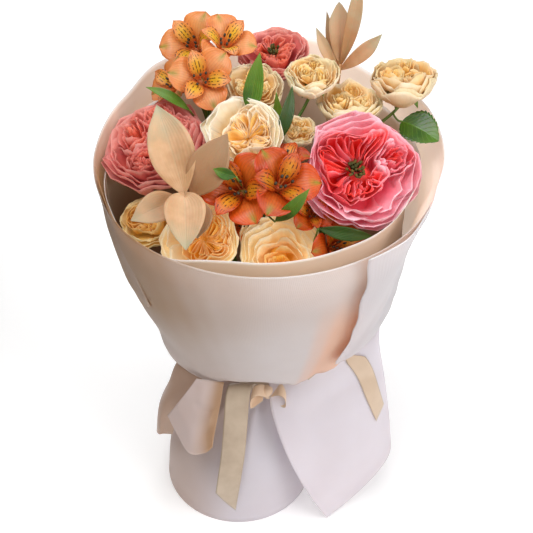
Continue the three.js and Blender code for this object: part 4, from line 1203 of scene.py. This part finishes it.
def skirt_place(azimuth, v):
    z, radius, middle, pleat = curve_through([Vector(row) for row in SKIRT], v)
    folds = pleat * (sin(radians(azimuth) * 15) + 0.5 * sin(radians(azimuth) * 23 + 1))
    return at(middle, 0, max(z, 0)) + turned(azimuth) * (radius - 0.5 + folds) * MM


bm = new_mesh()
# Painted shade: the skirt darkens towards its left side.
seam = grow(bm, 144, 44, lambda u, v: skirt_place(360 * u, v),
            depth=lambda u, v: 0.62 * smooth(cos(2 * pi * (u - 0.53)), 0.1, 1.0))
bmesh.ops.remove_doubles(bm, verts=seam, dist=1e-6)
finished("skirt", bm, [SKIRT_PAPER], "skirt_drum", PAPER)
print("skirt through", len(SKIRT), "levels")

# %% Flaps
FLAP_RIGHT = [
    [(97.5, -77, 3), (124, -56, 8), (155, -32, 26), (171, -6, 36), (166, 34, 34), (140, 70, 30)],
    [(77, -83, 52), (108, -68, 60), (142, -40, 76), (166, -4, 84), (158, 32, 84), (132, 64, 80)],
    [(54, -78, 110), (86, -58, 117), (124, -32, 132), (158, 0, 140), (146, 30, 140), (118, 54, 136)],
    [(37, -52, 150), (70, -38, 168), (106, -18, 187), (149, 1, 198), (130, 24, 194), (102, 40, 182)],
    [(33, -22, 172), (62, -18, 187), (100, -6, 206), (148, 5, 226), (124, 20, 218), (96, 30, 204)],
]
LAPEL_LEFT = [
    [(-24.9, -90, 142.5), (-33, -90, 133.5), (-49.3, -86, 128.1), (-61.5, -70, 136.7), (-72.5, -54, 151)],
    [(-22, -80, 157), (-33, -80, 153), (-44, -76, 153), (-54, -66, 160), (-62, -56, 171)],
    [(-17, -66, 178), (-26, -66, 177), (-36, -64, 180), (-44, -58, 185), (-51, -54, 189)],
    [(-12.7, -50, 199), (-20, -50, 200), (-28, -50, 202), (-34, -50, 203), (-40.7, -50, 204.3)],
]
FOLD_LEFT = [
    [(-82, 45, 49), (-92, 10, 53), (-86.2, -30, 91), (-80, -36, 99), (-70, -44, 108)],
    [(-78, 46, 75), (-88, 8, 88), (-84.9, -28, 113.9), (-76, -36, 126), (-62, -42, 140)],
    [(-72, 48, 100), (-84, 10, 108), (-81.5, -26, 134.8), (-70, -34, 150), (-52, -40, 164)],
    [(-62, 44, 120), (-75, 12, 130), (-73.6, -20, 153.8), (-60, -30, 172), (-36, -38, 190)],
    [(-50, 38, 145), (-62, 14, 155), (-64.8, -10, 180.7), (-50, -22, 192), (-25, -34, 207)],
    [(-36, 30, 165), (-46, 18, 178), (-52, 6, 190), (-40, -6, 204), (-24, -22, 212)],
]


def draped(rows):
    """The surface through rows of points, with the soft dents of a folded sheet."""
    grid = [[at(*point) for point in row] for row in rows]

    def place(u, v):
        fold = noise.noise(Vector((u * 2.2, v * 3.4, len(rows)))) * 4 * sin(pi * v) * min(1, 5 * u)
        dent = 3 * exp(-((v - 0.66 + 0.1 * u) / 0.05) ** 2)
        dent *= smooth(u, 0.1, 0.3) * (1 - smooth(u, 0.5, 0.75))
        return curve_through([curve_through(row, u) for row in grid], v) + at(0, 0.8, -0.6) * (fold + dent)

    return place


bm = new_mesh()
flap_right = draped(FLAP_RIGHT)
grow(bm, 60, 44, flap_right)
finished("flap_right", bm, [SKIRT_PAPER], "skirt_flap_right", PAPER)

bm = new_mesh()
# Painted shade: the lapel darkens towards its right edge, and the folded part behind it darkens towards the
# lapel.
grow(bm, 40, 30, draped(LAPEL_LEFT), depth=lambda u, v: 0.5 + 0.45 * smooth(-u, -0.55, -0.08))
grow(bm, 48, 36, draped(FOLD_LEFT), depth=lambda u, v: 0.78 * smooth(u, 0.1, 0.5))
finished("flap_left", bm, [SKIRT_PAPER], "skirt_flap_left", PAPER)
print("right flap through", len(FLAP_RIGHT), "rows, left one through", len(LAPEL_LEFT), "and", len(FOLD_LEFT))

# %% [markdown]
# ## Ribbon and twine
#
# A satin ribbon is a fabric whose long threads all run one way, so it shines in a soft band and
# shows fine lines across its width. It goes round the waist under the wrap, is tied in a small
# bow, and its two ends hang down: one freely on the left, one on the right flap. Each length is
# a grid along a line that also says which way the ribbon's width runs, because a ribbon turns
# and twists but keeps its width. Under it all, twine binds the stems.

# %% Satin finish
# The satin glows faintly: painted light.
SATIN = Finish("satin", 0.35, Sheen_Weight=0.3, Anisotropic=0.4, Emission_Strength=0.14)
selvage = (SATIN.mark("across") * 2 - 1).abs().ramp(0.9, 0.94)
satin_cloud = SATIN.noise(SATIN.place(), 60, 3)
SATIN.blend(satin_cloud.ramp(0.3, 0.75), "b3a08a", "a28e78")
# Painted light: a lighter colour where the mark depth is set, fully on the bow and by half on the right tail.
SATIN.tint(SATIN.mark("depth"), "dcbfa3")
SATIN.tint(selvage * 0.4, "947e66")
SATIN.wear()
SATIN.give("Roughness", 0.3 + satin_cloud * 0.2 + selvage * 0.15)
ribs = (SATIN.mark("along") * (2 * pi * 160)).sine()
SATIN.bump(ribs * 0.3 + satin_cloud * 0.5 + selvage * 0.6, 0.25, 0.0003)

TWINE = Finish("twine", 0.95)
twine_along = TWINE.mark("along")
strands = TWINE.noise(TWINE.spot(TWINE.mark("across") * 3 + twine_along * 160, twine_along * 30, 0), 1.0, 2)
TWINE.blend(strands.ramp(0.35, 0.65), "c4a878", "8d7047")
TWINE.wear(glows=False)
TWINE.bump(strands, 0.8, 0.0006)
print("satin and twine finishes done")

# %% Ribbon pieces
SATIN_THICKNESS = 0.4 * MM


def ribbon_run(points, sides, width, crown, notch=0.0):
    """A flat ribbon along points. sides says which way its width runs at each point."""
    line, wide = [at(*p) for p in points], [Vector(s) for s in sides]

    def place(u, v):
        s = 2 * u - 1
        t = v * (1 - notch * (1 - u) * v)
        middle, side = curve_through(line, t), curve_through(wide, t).normalized()
        ahead = curve_through(line, min(t + 0.01, 1)) - curve_through(line, max(t - 0.01, 0))
        out = ahead.cross(side).normalized()
        return middle + side * (s * width / 2 * MM) + out * (crown * (1 - s ** 2) * MM)

    return place


def satin_piece(name, bm, node): finished(name, bm, [SATIN], node, SATIN_THICKNESS)


def waist(u, v):
    folds = 0.5 * sin(2.6 * 2 * pi * v + 2 * sin(2 * pi * u))
    return at(TIE_X, 0, 153.5 + 21 * v) + turned(360 * u) * (22.6 + folds) * MM


bm = new_mesh()
ring = grow(bm, 120, 14, waist)
bmesh.ops.remove_doubles(bm, verts=ring, dist=1e-6)
satin_piece("ribbon_waist", bm, "ribbon_band")

bm = new_mesh()
grow(bm, 12, 80, ribbon_run(
    [(10, -24.6, 160), (8, -33, 176), (4, -46, 189), (1, -58, 182), (-1, -69, 158), (-4, -81, 122),
     (-9, -89, 84), (-15, -91, 34)],
    [(1, 0, 0)] * 6 + [(1, 0.05, 0), (1, 0.1, 0)], 25, 0.8, notch=0.09))
satin_piece("ribbon_left_tail", bm, "ribbon_tail_left")

print("band round the waist and left tail done")

# %% The right tail
TAIL_ON_FLAP = [
    (0.24, 0.9), (0.35, 0.9), (0.44, 0.84), (0.47, 0.76), (0.495, 0.645), (0.505, 0.515), (0.52, 0.365),
]


def right_tail(s, t):
    """The right tail follows a line drawn on the right flap. Its end is cut at a slant."""
    t *= 1 - 0.05 * s * t
    middle = curve_through([Vector((*p, 0)) for p in TAIL_ON_FLAP], t)
    side = (2 * s - 1) * 0.036
    turn = clamp(3 * t - 0.6)
    u, v = middle.x + side * turn, middle.y - 2.4 * side * (1 - turn)
    normal = (flap_right(u + 0.02, v) - flap_right(u - 0.02, v)).cross(
        flap_right(u, min(v + 0.02, 1)) - flap_right(u, v - 0.02)).normalized()
    return flap_right(u, v) + normal * 2.0 * MM


bm = new_mesh()
# The right tail takes half of the satin's painted light.
grow(bm, 12, 60, right_tail, depth=0.5)
satin_piece("ribbon_right_tail", bm, "ribbon_tail_right")
print("right tail drawn through", len(TAIL_ON_FLAP), "points of the flap")

# %% Bow and twine
KNOT = Vector((33, -30.4, 161))
# The bow's loops and knot take the satin's full painted light.
bm = new_mesh()
for reach in (Vector((-17, -8, 6)), Vector((18, -8, 7))):
    out = KNOT + reach
    bottom = out + Vector((0, -4, -9))
    loop = [KNOT, KNOT.lerp(out, 0.6) + Vector((0, 0, 5)), out, bottom, KNOT.lerp(bottom, 0.3)]
    grow(bm, 8, 40, ribbon_run(loop, [(-0.15, -0.95, -0.25)] * 5, 14, 0.6), depth=1.0)
tube(bm, lambda t: (KNOT + Vector((0, 0, 7 - 14 * t))) * MM,
     lambda t: (3 + 4 * sin(pi * clamp(t, 0.02, 0.98)) ** 0.6) * MM, 16, 14, depth=1.0)
satin_piece("ribbon_bow_loops", bm, "ribbon_bow")

bm = new_mesh()
COILS = 5
tube(bm, lambda t: at(TIE_X, 0, 160.6 + 7 * t) + turned(360 * COILS * t) * 16.2 * MM, 0.75 * MM, 8, 240)
finished("twine_coil", bm, [TWINE], "binding_twine")
print("bow of two loops, twine of", COILS, "turns")

# %% [markdown]
# ## The sheets before they were wrapped
#
# Every paper and ribbon here is a sheet that was flat once. This step prints the size it was cut to. Where
# the cut isn't a rectangle, the area of the mesh gives the flat area, because paper bends but doesn't
# stretch.

# %% Flat sizes
def was_flat(name, width, length, held, *rests_on, rectangle=False):
    """Prints the flat size of a sheet, in metres, and how full its rectangle is."""
    sheet = bpy.data.objects[name]
    area = sum(face.area for face in sheet.data.polygons)
    share = area / (width * length)
    print(f"{name}: cut from {width} x {length} m, {area:.4f} m2, {share:.2f} of the rectangle")


was_flat("inner_sheet", 0.78, 0.32, "gathered", "binding_twine", "ribbon_band")
was_flat("front_sheet", 0.44, 0.27, "folded", "wrap_inner_sheet")
was_flat("outer_sheet", 0.66, 0.32, "folded", "ribbon_band", "wrap_inner_sheet", "wrap_front_sheet")
was_flat("skirt", 0.51, 0.18, "gathered", "ribbon_band")
was_flat("flap_right", 0.20, 0.25, "draped", "ribbon_band", "skirt_drum")
was_flat("flap_left", 0.15, 0.14, "folded", "ribbon_band", "skirt_drum")
was_flat("ribbon_waist", 0.0214, 0.144, "stretched", "skirt_drum", rectangle=True)
was_flat("ribbon_left_tail", 0.025, 0.20, "hung", "ribbon_band")
was_flat("ribbon_right_tail", 0.025, 0.11, "draped", "ribbon_band", "skirt_flap_right")
was_flat("ribbon_bow_loops", 0.014, 0.14, "folded", "ribbon_band")
